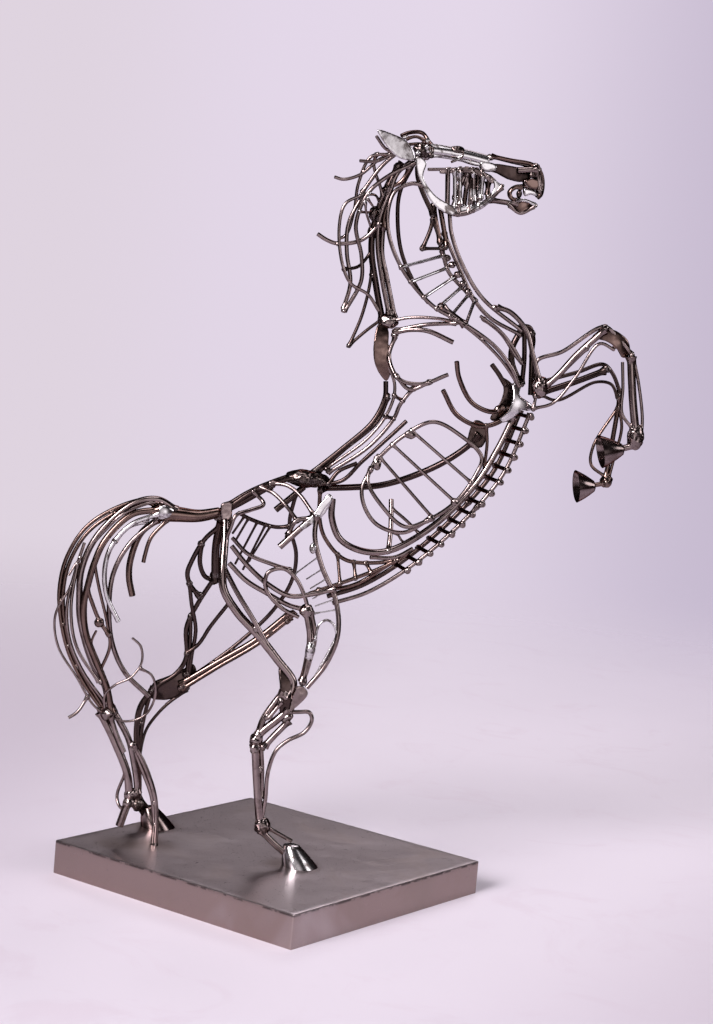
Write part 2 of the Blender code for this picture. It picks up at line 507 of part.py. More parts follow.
def make_hind_right():
    side = -50
    rod("shank_right", ROD_8, [-8, -28, -36, -42, -47, side], [(-73, 371), (-71, 346), (-70.5, 314),
        (-68, 292), (-53, 270), (-31, 249), (-9, 225), (8, 204), (5, 188)], name="shank_right",
        look=STEEL)
    rod("shank_right", ROD_4, [-8, -18, -26, "shank_right"],
        [(-46, 389), (-36, 378), (-49, 371), (-62, 365), (-66.5, 352), (-68, 338)])
    rod("shank_right", ROD_5, ["shank_right", -46, "shank_right"],
        [(-69, 316), (-55, 290), (-36, 263), (-16, 232)])
    plate("shank_right", THICK_SHEET, side, [(-20, 231), (-3, 222), (6, 211), (11, 210), (17, 204),
        (7.5, 190), (4, 176), (-3, 172), (-9, 186), (-8.5, 205)], plane=side)
    rod("thigh_right", ROD_5, [-37, -46, -48], [(-64, 335), (-47, 317), (-24, 299), (-2, 289.5),
        (20, 293), (40, 299)], look=STEEL)
    rod("thigh_right", ROD_4, [-34, -44, -47], [(-64, 343), (-47, 328), (-24, 320), (-4, 315)])
    rod("thigh_right", ROD_5, [-40, -44, -45], [(-65, 318), (-47, 302), (-24, 290), (-2, 280), (14, 277)])
    rod("thigh_right", ROD_4, [-46, -49, -47], [(8, 269), (-11, 278), (-27, 296), (-26, 311), (-11, 316),
        (2, 307), (12, 290), (17, 276)])
    weld("thigh_right", 15, 276, -46, (14, 12, 13))
    rod("thigh_right", ROD_6, [-47, -49], [(15, 276), (21, 250), (20, 226), (17, 205)])
    rod("thigh_right", ROD_4, [-47, -49], [(20, 276), (26, 250), (22, 222), (18, 205)])
    plate("hip_strap", SHEET, -34, [(24, 394), (32, 390), (21, 364), (13, 368)], look=BRIGHT)
    rod("hip_strap", ROD_5, [-35, -42, -50, side], [(17, 370), (17, 349), (26.7, 320), (42, 291),
        (48, 266), (47, 246), (38, 222), (22, 199)], name="flank", look=STEEL)
    rod("hip_strap", WIRE, ["flank", side, "flank"], [(46, 256), (36, 226), (23, 206)])
    rod("hip_strap", WIRE, [side, "flank"], [(26, 248), (29, 263), (36, 268), (43, 264), (46, 254)])
    rod("cannon_right", ROD_8, side, [(-1, 186), (-11, 176), (-27, 160), (-30, 148)], plane=side,
        name="hock_bar", look=STEEL)
    rod("cannon_right", ROD_6, side, [(1, 176), (-12.5, 160), (-21, 149)], plane=side)
    rod("cannon_right", ROD_6, side, [(-7, 204), (-15, 192), (-24, 176), (-28, 160)], plane=side)
    rod("cannon_right", ROD_8, side, [(-30, 154), (-26, 122), (-21, 88), (-18, 70)], plane=side,
        name="cannon")
    rod("cannon_right", ROD_4, side, [(-24, 150), (-21, 128), (-19, 100)], plane=side)
    weld("cannon_right", -16, 71, side, (16, 13, 17), plane=side)
    rod("cannon_right", ROD_6, side, [(-18, 67), (-3, 53.5), (8, 45)], plane=side)
    rod("cannon_right", ROD_4, side, [(-12, 70), (0, 64), (14, 57)], plane=side)
    rod("cannon_right", ROD_4, ["hock_bar", side, "cannon"],
        [(0, 180), (10, 185), (20, 185), (23, 178), (17.5, 166), (1, 156), (-9, 146), (-15, 125),
        (-15.5, 95), (-17, 72)], plane=side)


def make_hind_left():
    plane = 40
    rod("rump_left", ROD_8, [6, 30, 42], [(-76, 362), (-79, 332), (-77, 300)], name="rump", look=DARK)
    rod("rump_left", ROD_5, ["rump", 30, 44], [(-79, 354), (-90, 340), (-101, 318), (-104.5, 305),
        (-101, 294), (-92, 284)], name="rump_bow")
    rod("rump_left", ROD_5, ["rump_bow", 44], [(-93, 335), (-93, 315), (-87, 303), (-78, 300)])
    rod("rump_left", ROD_5, [42, 48, 50, 52], [(-77, 304), (-92, 276), (-101, 252), (-99, 222),
        (-107, 206), (-126, 192)], name="hamstring")
    rod("rump_left", ROD_4, ["rump_bow", 50, 53], [(-101, 296), (-98, 275), (-92, 250), (-94, 222),
        (-95, 203)])
    rod("rump_left", ROD_4, ["hamstring", 53], [(-97, 262), (-96.5, 240), (-97, 206)])
    rod("rump_left", ROD_4, [38, "hamstring"], [(-62, 278), (-78, 254), (-88, 236), (-97, 226)])
    rod("shank_left", ROD_6, [45, 54], [(4, 266), (-27.5, 237), (-66, 210.5), (-100, 187)], plane=plane,
        look=BROWN)
    rod("shank_left", ROD_5, [45, 54], [(6, 262), (-26, 233), (-65, 206), (-98, 182)], plane=plane)
    rod("shank_left", ROD_5, [45, 45], [(9, 268), (2, 258)], plane=plane)
    plate("hock_left", THICK_SHEET, 56, [(-126, 184), (-112, 194), (-97, 202), (-90, 200), (-88, 186),
        (-95, 178), (-106, 171), (-120, 169), (-131, 172)], plane=plane, look=DARK)
    rod("hock_left", ROD_6, [57, 62], [(-125, 182), (-137, 162), (-139, 140), (-136, 110), (-133, 85),
        (-132, 64)], plane=plane)
    rod("hock_left", ROD_4, [57, 60], [(-128, 178), (-133, 150), (-136, 115)], plane=plane)
    rod("hock_left", ROD_3, [56, 62], [(-92, 182), (-110, 167), (-121, 154), (-130, 138), (-134, 110),
        (-133, 90)], plane=plane)
    weld("hock_left", -132, 63, 63, (14, 13, 15), plane=plane)
    rod("hock_left", ROD_6, [63, 68], [(-132, 62), (-119, 46)], plane=plane)
    rod("hock_left", ROD_4, [63, 68], [(-131, 70), (-117, 54)], plane=plane)


def make_tail():
    rod("tail_outer", ROD_4, [3, 6, 2], [(-137, 369), (-150, 374), (-180, 363), (-206, 342.5),
        (-222, 312), (-226.5, 283), (-224, 257), (-214, 222), (-196.7, 191), (-174, 162)], look=BROWN)
    rod("tail_outer", ROD_4, [2, 6, 2], [(-137, 367), (-150, 371), (-178, 359.5), (-203, 339),
        (-218.5, 309), (-222.7, 283), (-220.5, 257), (-210.5, 222), (-194, 193.5), (-173, 164)])
    rod("tail_back", ROD_6, [-2, -4, -1], [(-120, 366), (-138, 375), (-158, 371.5), (-180, 354),
        (-198.7, 327.5), (-207, 300), (-207, 276), (-204, 251), (-190, 212), (-175, 187), (-171, 161)],
        name="tail_back", look=STEEL)
    rod("tail_back", ROD_3, ["tail_back", -10, "tail_back"],
        [(-136, 372), (-152, 369), (-172.5, 357.5), (-187.5, 341), (-201, 324)])
    rod("tail_middle", ROD_6, [-4, -10, -9, -4], [(-137, 365), (-162.5, 358.7), (-186, 332.5),
        (-195, 309), (-199, 290), (-202, 268), (-198, 240), (-185, 211), (-174, 188), (-167, 163)],
        name="tail_middle", look=BROWN)
    rod("tail_middle", ROD_3, ["tail_middle", -8, -4], [(-195, 309), (-188.7, 285), (-178, 250),
        (-174, 228), (-182, 202)])
    rod("tail_middle", ROD_4, ["tail_middle", -8], [(-200, 284), (-186, 253), (-176, 240)])
    weld("tail_middle", -186, 251, -9, (10, 8, 10))
    rod("tail_strand_1", ROD_5, [-6, -10, -10], [(-137, 361), (-162.5, 348.7), (-180, 326), (-184.6, 303),
        (-180.6, 277.5), (-167.5, 253)], look=BRIGHT)
    rod("tail_strand_2", ROD_5, [-1, -4, 4], [(-138, 355), (-162.5, 330), (-176, 300), (-177.5, 265),
        (-172, 232), (-157.8, 204), (-132, 181)], look=STEEL)
    rod("dock", ROD_6, [3, 2], [(-137, 356), (-152.5, 341), (-160.6, 314), (-160.6, 297), (-156, 279)])
    rod("dock", ROD_4, [-3, -5], [(-128, 356), (-142.5, 337.5), (-147, 320), (-148, 312.5)])
    rod("tail_side", ROD_3, [-3, -6, -6, -3], [(-206, 328), (-213, 298), (-218, 265), (-213, 232),
        (-198, 202), (-174, 172)], name="tail_side", look=STEEL)
    rod("tail_side", ROD_3, ["tail_side", -11, -8], [(-211, 306), (-214, 262), (-206, 226), (-182, 192)])
    rod("tail_side", WIRE, ["tail_side", -5, -3], [(-216, 284), (-228.5, 256), (-224, 226), (-203, 195),
        (-186, 170), (-173, 160)], name="tail_wire")
    rod("tail_side", WIRE, ["tail_wire", -14], [(-173, 160), (-152, 155), (-134, 163), (-126, 184),
        (-131, 202), (-142, 208)])
    rod("tail_side", WIRE, ["tail_wire", -14, -12], [(-173, 160), (-175, 180), (-165, 191), (-151, 199),
        (-142, 214), (-144, 230), (-153, 238)])
    rod("tail_low", ROD_8, [2, 0], [(-178, 163), (-161.5, 133.5), (-147, 101.7), (-143, 75)], look=STEEL)
    rod("tail_low", ROD_8, 0, [(-142.5, 82), (-146, 69), (-151, 50)])
    rod("tail_low", ROD_5, [-5, -6, -7], [(-168, 160), (-161, 142), (-152, 124)])
    rod("tail_low", ROD_3, [2, 10, 2], [(-149, 104), (-155.5, 81), (-153, 71), (-145, 64)])
    weld("tail_low", -171, 162, -2, (15, 17, 14))
    rod("tail_foot", ROD_6, [-1, 1], [(-168, 168), (-159.3, 155.5), (-148.4, 136.8), (-141.8, 115),
        (-137.4, 95), (-136, 84)], look=STEEL)
    rod("tail_foot", ROD_5, -1, [(-143, 132), (-129.8, 110), (-118.8, 82), (-115, 57), (-114.2, 30)])
    rod("tail_foot", ROD_5, [0.5, 0.5], [(-143, 128), (-132, 106), (-121.5, 82), (-117, 57),
        (-116.5, 30)])


def body_of(name, built):
    """One hidden object holding all the built shapes."""
    joined = bmesh.new()
    for bm in built:
        mesh = bpy.data.meshes.new("shape")
        bm.to_mesh(mesh)
        bm.free()
        joined.from_mesh(mesh)
        bpy.data.meshes.remove(mesh)
    mesh = bpy.data.meshes.new(name)
    joined.to_mesh(mesh)
    joined.free()
    obj = bpy.data.objects.new(name, mesh)
    bpy.context.scene.collection.objects.link(obj)
    return obj


def grown(bm, by):
    """The shape with each of its faces moved outwards."""
    bm.normal_update()
    moves = [(v, v.normal * (min(v.calc_shell_factor(), 2.5) * by)) for v in bm.verts]
    for v, move in moves:
        v.co += move
    return bm


def boolean(obj, tool, operation):
    """Applies a Boolean between the object and the tool, and removes the tool."""
    cut = obj.modifiers.new(operation.lower(), "BOOLEAN")
    cut.operation = operation
    cut.solver = "EXACT"
    cut.use_self = True
    cut.object = tool
    graph = bpy.context.evaluated_depsgraph_get()
    result = bpy.data.meshes.new_from_object(obj.evaluated_get(graph))
    obj.modifiers.clear()
    old = obj.data
    obj.data = result
    bpy.data.meshes.remove(old)
    bpy.data.meshes.remove(tool.data)


def box_of(obj):
    """The lowest and highest place of an object along each axis."""
    points = [v.co for v in obj.data.vertices]
    return [(min(p[i] for p in points), max(p[i] for p in points)) for i in range(3)]


def close_by(a, b, reach):
    """Whether two boxes are nearer to each other than reach."""
    return all(p[0] - reach < q[1] and q[0] - reach < p[1] for p, q in zip(a, b))


def islands(bm):
    """The groups of vertices that hang together."""
    left = set(bm.verts)
    while left:
        start = left.pop()
        group, edge = [start], [start]
        while edge:
            for e in edge.pop().link_edges:
                for v in e.verts:
                    if v in left:
                        left.discard(v)
                        group.append(v)
                        edge.append(v)
        yield group


def tidy(obj):
    """Welds the cut edges and keeps the main body, without the crumbs that a cut leaves."""
    bm = bmesh.new()
    bm.from_mesh(obj.data)
    bmesh.ops.triangulate(bm, faces=bm.faces)
    bmesh.ops.remove_doubles(bm, verts=bm.verts, dist=2e-6)
    bmesh.ops.dissolve_degenerate(bm, edges=bm.edges, dist=2e-6)
    bmesh.ops.dissolve_limit(bm, angle_limit=FLAT, verts=bm.verts, edges=bm.edges)
    bmesh.ops.triangulate(bm, faces=bm.faces)
    groups = sorted(islands(bm), key=len, reverse=True)
    for group in groups[1:]:
        bmesh.ops.delete(bm, geom=group, context="VERTS")
    bm.to_mesh(obj.data)
    bm.free()


def material(name, colour, roughness):
    made = bpy.data.materials.new(name)
    made.use_nodes = True
    shader = made.node_tree.nodes["Principled BSDF"]
    shader.inputs["Base Color"].default_value = (*colour, 1)
    shader.inputs["Roughness"].default_value = roughness
    shader.inputs["Metallic"].default_value = 1.0
    return made


def main():
    for obj in list(bpy.data.objects):
        bpy.data.objects.remove(obj)
    make_base()
    make_hooves()
    make_head()
    make_neck()
    make_shoulder()
    make_ribs()
    make_belly_ladder()
    make_breast()
    make_forelegs()
    make_croup()
    make_hind_right()
    make_hind_left()
    make_tail()
    nodes = {}
    boxes = {}
    for name in [*JOINTS, *(n for n in pieces if n not in JOINTS)]:
        builds = pieces[name]
        obj = body_of(name, [builds[0]()])
        if len(builds) > 1:
            boolean(obj, body_of("tool", [build() for build in builds[1:]]), "UNION")
        own = box_of(obj)
        others = [other for other in nodes if close_by(own, boxes[other], 2 * GAP)]
        if others:
            shapes = [grown(build(), GAP) for other in others for build in pieces[other]]
            boolean(obj, body_of("tool", shapes), "DIFFERENCE")
        tidy(obj)
        nodes[name] = obj
        boxes[name] = own
        obj.data.materials.clear()
        obj.data.materials.append(material(name, *looks[name]))
    for obj in [o for o in bpy.data.objects if o.name not in nodes]:
        bpy.data.objects.remove(obj)
    reach = [box_of(obj) for obj in nodes.values()]
    middle = Vector((0, 0, 0))
    for i in range(2):
        middle[i] = (min(box[i][0] for box in reach) + max(box[i][1] for box in reach)) / 2
    origin = bpy.data.objects.new("work_origin", None)
    bpy.context.scene.collection.objects.link(origin)
    for obj in nodes.values():
        obj.parent = origin
        obj.data.transform(Matrix.Translation(-middle))
        if obj.name != "base":
            obj.data.shade_smooth()
            obj.data.set_sharp_from_angle(angle=math.radians(50))


main()
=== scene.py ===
"""The finished look of the rearing horse that is welded from scrap steel rod and sheet.

Every rod follows the same readings as the part's own source. The horse is drawn from its right side,
in millimetres: x forward of the middle of the base and z above the floor. The side drawing is a
perspective one, seen from EYE and taken in the plane y = plane. A rod that lies off that plane is
moved along its sight line to its own sideways place y.
"""

import math

import bmesh
import bpy
import numpy as np
from bpy.props import FloatProperty, FloatVectorProperty, IntProperty, PointerProperty
from bpy.types import Operator, Panel, PropertyGroup
from mathutils import Matrix, Vector, noise
from mathutils.kdtree import KDTree

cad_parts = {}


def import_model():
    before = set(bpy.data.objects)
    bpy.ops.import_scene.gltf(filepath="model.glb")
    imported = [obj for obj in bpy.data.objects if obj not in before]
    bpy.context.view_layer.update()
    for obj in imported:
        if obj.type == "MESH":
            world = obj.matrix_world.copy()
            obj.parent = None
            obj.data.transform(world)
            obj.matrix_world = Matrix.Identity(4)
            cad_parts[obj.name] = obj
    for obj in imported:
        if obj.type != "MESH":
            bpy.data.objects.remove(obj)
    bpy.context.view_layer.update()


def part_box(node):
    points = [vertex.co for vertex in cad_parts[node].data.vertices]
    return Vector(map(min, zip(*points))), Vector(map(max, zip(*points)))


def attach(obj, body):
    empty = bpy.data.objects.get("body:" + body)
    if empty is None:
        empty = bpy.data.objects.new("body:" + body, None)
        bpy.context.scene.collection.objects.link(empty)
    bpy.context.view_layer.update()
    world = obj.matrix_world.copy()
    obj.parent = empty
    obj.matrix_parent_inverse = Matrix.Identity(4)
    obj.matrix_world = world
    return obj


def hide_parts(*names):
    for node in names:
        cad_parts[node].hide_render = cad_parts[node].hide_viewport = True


bl_info = {
    "name": "Rearing Horse of Welded Rod",
    "version": (1, 0, 0),
    "blender": (4, 5, 0),
    "location": "3D View > Sidebar > Horse",
    "description": "A rearing horse welded from scrap steel rod and sheet, on a sheet steel base",
    "category": "Add Mesh",
}

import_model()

# The middle of the base on the floor, and the size of the base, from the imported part
BASE_LOW, BASE_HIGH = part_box("base")
MIDDLE = Vector(((BASE_LOW.x + BASE_HIGH.x) / 2, (BASE_LOW.y + BASE_HIGH.y) / 2, 0))
BASE_SIDE = (BASE_HIGH.x - BASE_LOW.x) / math.sqrt(2)
BASE_HEIGHT = BASE_HIGH.z
MM = 0.001

# Diameters of the rod stock
FINE_WIRE = 0.0014
FACE_TUBE = 0.0125
WIRE = 0.0024
ROD_3 = 0.0032
ROD_4 = 0.0040
ROD_5 = 0.0048
ROD_6 = 0.0064
ROD_8 = 0.0080

# Thickness of the sheet scraps
THIN_SHEET = 0.0020
SHEET = 0.0030
THICK_SHEET = 0.0065
LIP_PLATE = 0.009
MUZZLE_PLATE = 0.010
FACE_PLATE = 0.011
NOSE_PLATE = 0.013

# Thickness of the patches that only the finished look has
PATCH = 0.004
THICK_PATCH = 0.006
BAR_END = 0.012

# How far the edges of a bowed scrap curl away from its middle
SLIGHT_BOW = 0.004
BOW = 0.006
DEEP_BOW = 0.007

# The cone that carries the tail
DOCK_NECK = 0.010
DOCK_END = 0.017

# How near a rod's end and its side come to a rod that they are welded to, and how far that is sought
END_GAP = 0.0014
END_SEARCH = 0.0016
SIDE_GAP = 0.0003
SIDE_SEARCH = 0.0004
# Two beads at rod ends are never nearer than this, and a tack is this share of a bead
BEAD_PITCH = 0.0028
TACK_SHARE = 0.8

# The sleeves of weld metal that a web sends out along the rods round it
SLEEVE_FACETS = 12
SLEEVE_RISE = 0.0011
SLEEVE_SINK = 0.0005

# The hind hooves stand on the base: middle of the sole, top, radius of the sole and of the rim, and axis
HOOVES = {
    "hoof_hind_right": ((24, -50, 33), (14, -50, 53), 17.5, 8, (0, 0, 1)),
    "hoof_hind_left": ((-108, 71, 33), (-118, 69, 53), 17.5, 8, (0, 0, 1)),
}
# The fore hooves hang free: their sideways place, and the sole's middle and the top in the drawing
FORE_HOOVES = {
    "hoof_fore_right": (-29, (294, 454.8), (316, 458.8)),
    "hoof_fore_left": (27, (273, 418.5), (291, 420)),
}
FORE_SOLE = 16.5
FORE_RIM = 5.5
# How far a fore hoof turns its sole sideways, in drawing millimetres
HOOF_TURN = 3

# Faces that meet at more than this angle keep a sharp edge
SHARP_ANGLE = math.radians(42)

# Where the side drawing is seen from
EYE = Vector((-270.9, -2162.4, 625.7))

# The finishes, each named as the part's material slot
STEEL = "rod_steel"
BRIGHT = "bright_steel"
BROWN = "heat_tinted_steel"
DARK = "scaled_steel"
BASE = "base_steel"


class RodSettings(PropertyGroup):
    facets: IntProperty(name="Facets", description="Sides of a round rod", default=14, min=6, max=32)
    spacing: FloatProperty(name="Ring Spacing", description="Length of rod between two rings",
                           default=0.0017, min=0.0005, unit="LENGTH", precision=4)
    cut_bevel: FloatProperty(name="Cut Bevel", description="Width of the burr taken off a sawn end",
                             default=0.00035, unit="LENGTH", precision=5)
    waviness: FloatProperty(name="Waviness", description="How uneven a rod's radius is", default=0.03,
                            subtype="FACTOR")
    flare: FloatProperty(name="Flare", description="How much wider a rod is where it is welded on",
                         default=0.5, subtype="FACTOR")
    flare_reach: FloatProperty(name="Flare Reach", description="Length of the wider part", default=0.0034,
                               unit="LENGTH", precision=4)


class WeldSettings(PropertyGroup):
    bead: FloatProperty(name="Bead Size", description="Radius of a bead, as a share of the rods' radii",
                        default=0.64, subtype="FACTOR")
    proud: FloatProperty(name="Bead Height", description="How far a bead stands over its rods",
                         default=0.0004, unit="LENGTH", precision=5)
    tack_pitch: FloatProperty(name="Tack Pitch", description="Distance of tacks on rods side by side",
                              default=0.021, unit="LENGTH", precision=4)
    # How far the heat tint reaches, which is also how far the painted crevice shade reaches.
    heat_and_shade_reach: FloatProperty(name="Heat Reach", description="Length of rod that a weld has tinted",
                              default=0.0105, unit="LENGTH", precision=4)
    voxel: FloatProperty(name="Web Detail", description="Size of the finest form of a melted web",
                         default=0.00065, min=0.0003, unit="LENGTH", precision=5)


class SteelSettings(PropertyGroup):
    bare: FloatVectorProperty(name="Bare Steel", description="Wire-brushed rod", subtype="COLOR",
                              default=(0.27, 0.213, 0.206))
    bright: FloatVectorProperty(name="Bright Steel", description="Freshly ground sheet", subtype="COLOR",
                                default=(0.66, 0.64, 0.65))
    tinted: FloatVectorProperty(name="Tinted Steel", description="Rod browned by the heat",
                                subtype="COLOR", default=(0.18, 0.120, 0.104))
    scaled: FloatVectorProperty(name="Scaled Steel", description="Rod with its mill scale on",
                                subtype="COLOR", default=(0.065, 0.045, 0.042))
    rim: FloatVectorProperty(name="Rim Tint", description="Darkening of steel that is seen edge on",
                             subtype="COLOR", default=(0.20, 0.12, 0.12))
    # Soot: oxide at the welds and in the base's seams and pits, and on the rods also painted shade in the
    # crevices where they meet.
    soot_and_crevice_shade: FloatVectorProperty(name="Soot", description="Oxide in the recesses", subtype="COLOR",
                              default=(0.030, 0.024, 0.022))
    plate: FloatVectorProperty(name="Base Sheet", description="Satin ground sheet of the base",
                               subtype="COLOR", default=(0.50, 0.425, 0.435))


class BaseSettings(PropertyGroup):
    wall: FloatProperty(name="Sheet", description="Thickness of the base's sheet", default=0.003,
                        unit="LENGTH", precision=4)
    edge: FloatProperty(name="Edge Radius", description="Radius of the ground edges", default=0.0013,
                        unit="LENGTH", precision=5)
    wobble: FloatProperty(name="Wobble", description="How far hand grinding leaves an edge out of true",
                          default=0.00035, unit="LENGTH", precision=5)
    cells: IntProperty(name="Cells", description="Rows of faces across the top", default=64, min=8)


class StageSettings(PropertyGroup):
    lens: FloatProperty(name="Lens", description="Focal length for a 36 mm long side", default=78.97,
                        subtype="DISTANCE_CAMERA")
    azimuth: FloatProperty(name="Azimuth", description="Where the camera stands round the horse",
                           default=math.radians(-8.59), subtype="ANGLE")
    elevation: FloatProperty(name="Elevation", description="How far the camera looks down",
                             default=math.radians(6.49), subtype="ANGLE")
    roll: FloatProperty(name="Roll", description="How far the camera leans", default=math.radians(5.16),
                        subtype="ANGLE")
    floor: FloatVectorProperty(name="Floor", description="Pale studio floor", subtype="COLOR",
                               default=(0.80, 0.735, 0.82))
    backdrop: FloatVectorProperty(name="Backdrop", description="Pale wall behind the work",
                                  subtype="COLOR", default=(0.785, 0.695, 0.825))
    floor_reach: FloatProperty(name="Floor Reach", description="Radius of the floor", default=2.6,
                               unit="LENGTH")


def settings(kind):
    """The scene's settings of one kind."""
    return getattr(bpy.context.scene, "horse_" + kind)


# The side drawing

def at(x, z, y, plane=0.0):
    """The point of the drawing taken in the given plane, moved along its sight line to y."""
    drawn = Vector((x, plane, z))
    share = (y - EYE.y) / (plane - EYE.y)
    return EYE + (drawn - EYE) * share


def world(p):
    """A point of the drawing in the model's own metres."""
    return MIDDLE + p * MM


def through(points, step, closed=False):
    """A smooth curve through the points, with a point for about each step of its length."""
    if closed:
        ends = [points[-1], *points, points[0], points[1]]
    else:
        ends = [points[0] * 2 - points[1], *points, points[-1] * 2 - points[-2]]
    curve = []
    for a, b, c, d in zip(ends, ends[1:], ends[2:], ends[3:]):
        t1 = (b - a).length ** 0.5
        t2 = t1 + (c - b).length ** 0.5
        t3 = t2 + (d - c).length ** 0.5
        steps = max(2, round((c - b).length / step))
        for i in range(steps):
            t = t1 + (t2 - t1) * i / steps
            p = a.lerp(b, t / t1)
            q = b.lerp(c, (t - t1) / (t2 - t1))
            r = c.lerp(d, (t - t2) / (t3 - t2))
            u = p.lerp(q, t / t2)
            v = q.lerp(r, (t - t1) / (t3 - t1))
            curve.append(u.lerp(v, (t - t1) / (t2 - t1)))
    return curve if closed else curve + [points[-1]]


def lengths_along(line):
    """The length of a line up to each of its points."""
    run = [0.0]
    for a, b in zip(line, line[1:]):
        run.append(run[-1] + (b - a).length)
    return run


def way_along(line, i):
    """The direction of a line at its point i."""
    return (line[min(i + 1, len(line) - 1)] - line[max(i - 1, 0)]).normalized()


def along(line, share):
    """The point at a share of the length of a line."""
    left = share * lengths_along(line)[-1]
    for a, b in zip(line, line[1:]):
        if left <= (b - a).length:
            return a.lerp(b, left / (b - a).length)
        left -= (b - a).length
    return line[-1]


class Rod:
    """A bent rod: the line of its middle, its diameter at both ends and its finish."""

    def __init__(self, node, line, stock, end_stock, finish):
        self.node = node
        self.line = line
        self.stock = stock
        self.end_stock = end_stock or stock
        self.finish = finish
        self.welded = [False, False]

    def radius(self, share):
        """The radius at a share of the rod's length."""
        return (self.stock + (self.end_stock - self.stock) * share) / 2

    def way(self, i):
        """The direction of the rod at its point i."""
        return way_along(self.line, i)


class Sheet:
    """A scrap of sheet, melted into the rods round it: its outline, thickness, finish and bow."""

    def __init__(self, node, outline, thickness, finish, cup):
        self.node = node
        self.outline = outline
        self.thickness = thickness
        self.finish = finish
        self.cup = cup


class Lump:
    """A lump of weld metal."""

    def __init__(self, node, centre, sizes, finish):
        self.node = node
        self.centre = centre
        self.sizes = sizes
        self.finish = finish


class Weld:
    """A bead where two rods meet."""

    def __init__(self, node, place, way, radius):
        self.node = node
        self.place = place
        self.way = way
        self.radius = radius


# What is laid out: the scraps, the beads between them, the named rods and each node's first finish
rods = []
sheets = []
lumps = []
welds = []
routes = {}
finishes = {}


def on_rod(name, x, z, plane):
    """The point of a named rod's line that lies nearest to a point of the drawing."""
    def off(p):
        """How far from the drawn point p is seen."""
        seen = EYE + (p - EYE) * ((plane - EYE.y) / (p.y - EYE.y))
        return math.hypot(seen.x - x, seen.z - z)
    return min(routes[name], key=off)


def look_of(node, look):
    """The finish that is asked for, or else the first one that the node was given."""
    look = look or finishes.get(node, STEEL)
    finishes.setdefault(node, look)
    return look


def rod(node, stock, ys, points, plane=0.0, name=None, look=None, end_stock=None):
    """A rod through points of the drawing. ys spreads its sideways place along it. Where an end is
    welded to another rod, ys has the name of that rod, and the end lies on it."""
    lengths = [0.0]
    for (x0, z0), (x1, z1) in zip(points, points[1:]):
        lengths.append(lengths[-1] + math.hypot(x1 - x0, z1 - z0))
    ys = [ys] * 2 if not isinstance(ys, list) else ys
    ends = {0: points[0], len(ys) - 1: points[-1]}
    feet = {i: on_rod(y, *ends[i], plane) for i, y in enumerate(ys) if isinstance(y, str)}
    ys = [feet[i].y if i in feet else y for i, y in enumerate(ys)]
    placed = []
    for (x, z), length in zip(points, lengths):
        place = length / lengths[-1] * (len(ys) - 1)
        i = min(int(place), len(ys) - 2)
        placed.append(at(x, z, ys[i] + (ys[i + 1] - ys[i]) * (place - i), plane))
    for i, foot in feet.items():
        placed[0 if i == 0 else -1] = foot
    route = through(placed, settings("rods").spacing / MM)
    if name:
        routes[name] = route
    rods.append(Rod(node, [world(p) for p in route], stock, end_stock, look_of(node, look)))


def plate(node, thickness, y, outline, plane=0.0, lean=0.0, look=None, cup=0.0):
    """A scrap of sheet with the drawn outline. lean moves it sideways for each mm forward."""
    first = outline[0][0]
    points = [world(at(x, z, y + lean * (x - first), plane)) for x, z in outline]
    sheets.append(Sheet(node, points, thickness, look_of(node, look), cup))


def weld(node, x, z, y, sizes, plane=0.0, look=None):
    """A lump of weld metal, with its sizes along X, Y and Z in drawing millimetres."""
    lumps.append(Lump(node, world(at(x, z, y, plane)), Vector(sizes) * MM, look_of(node, look)))


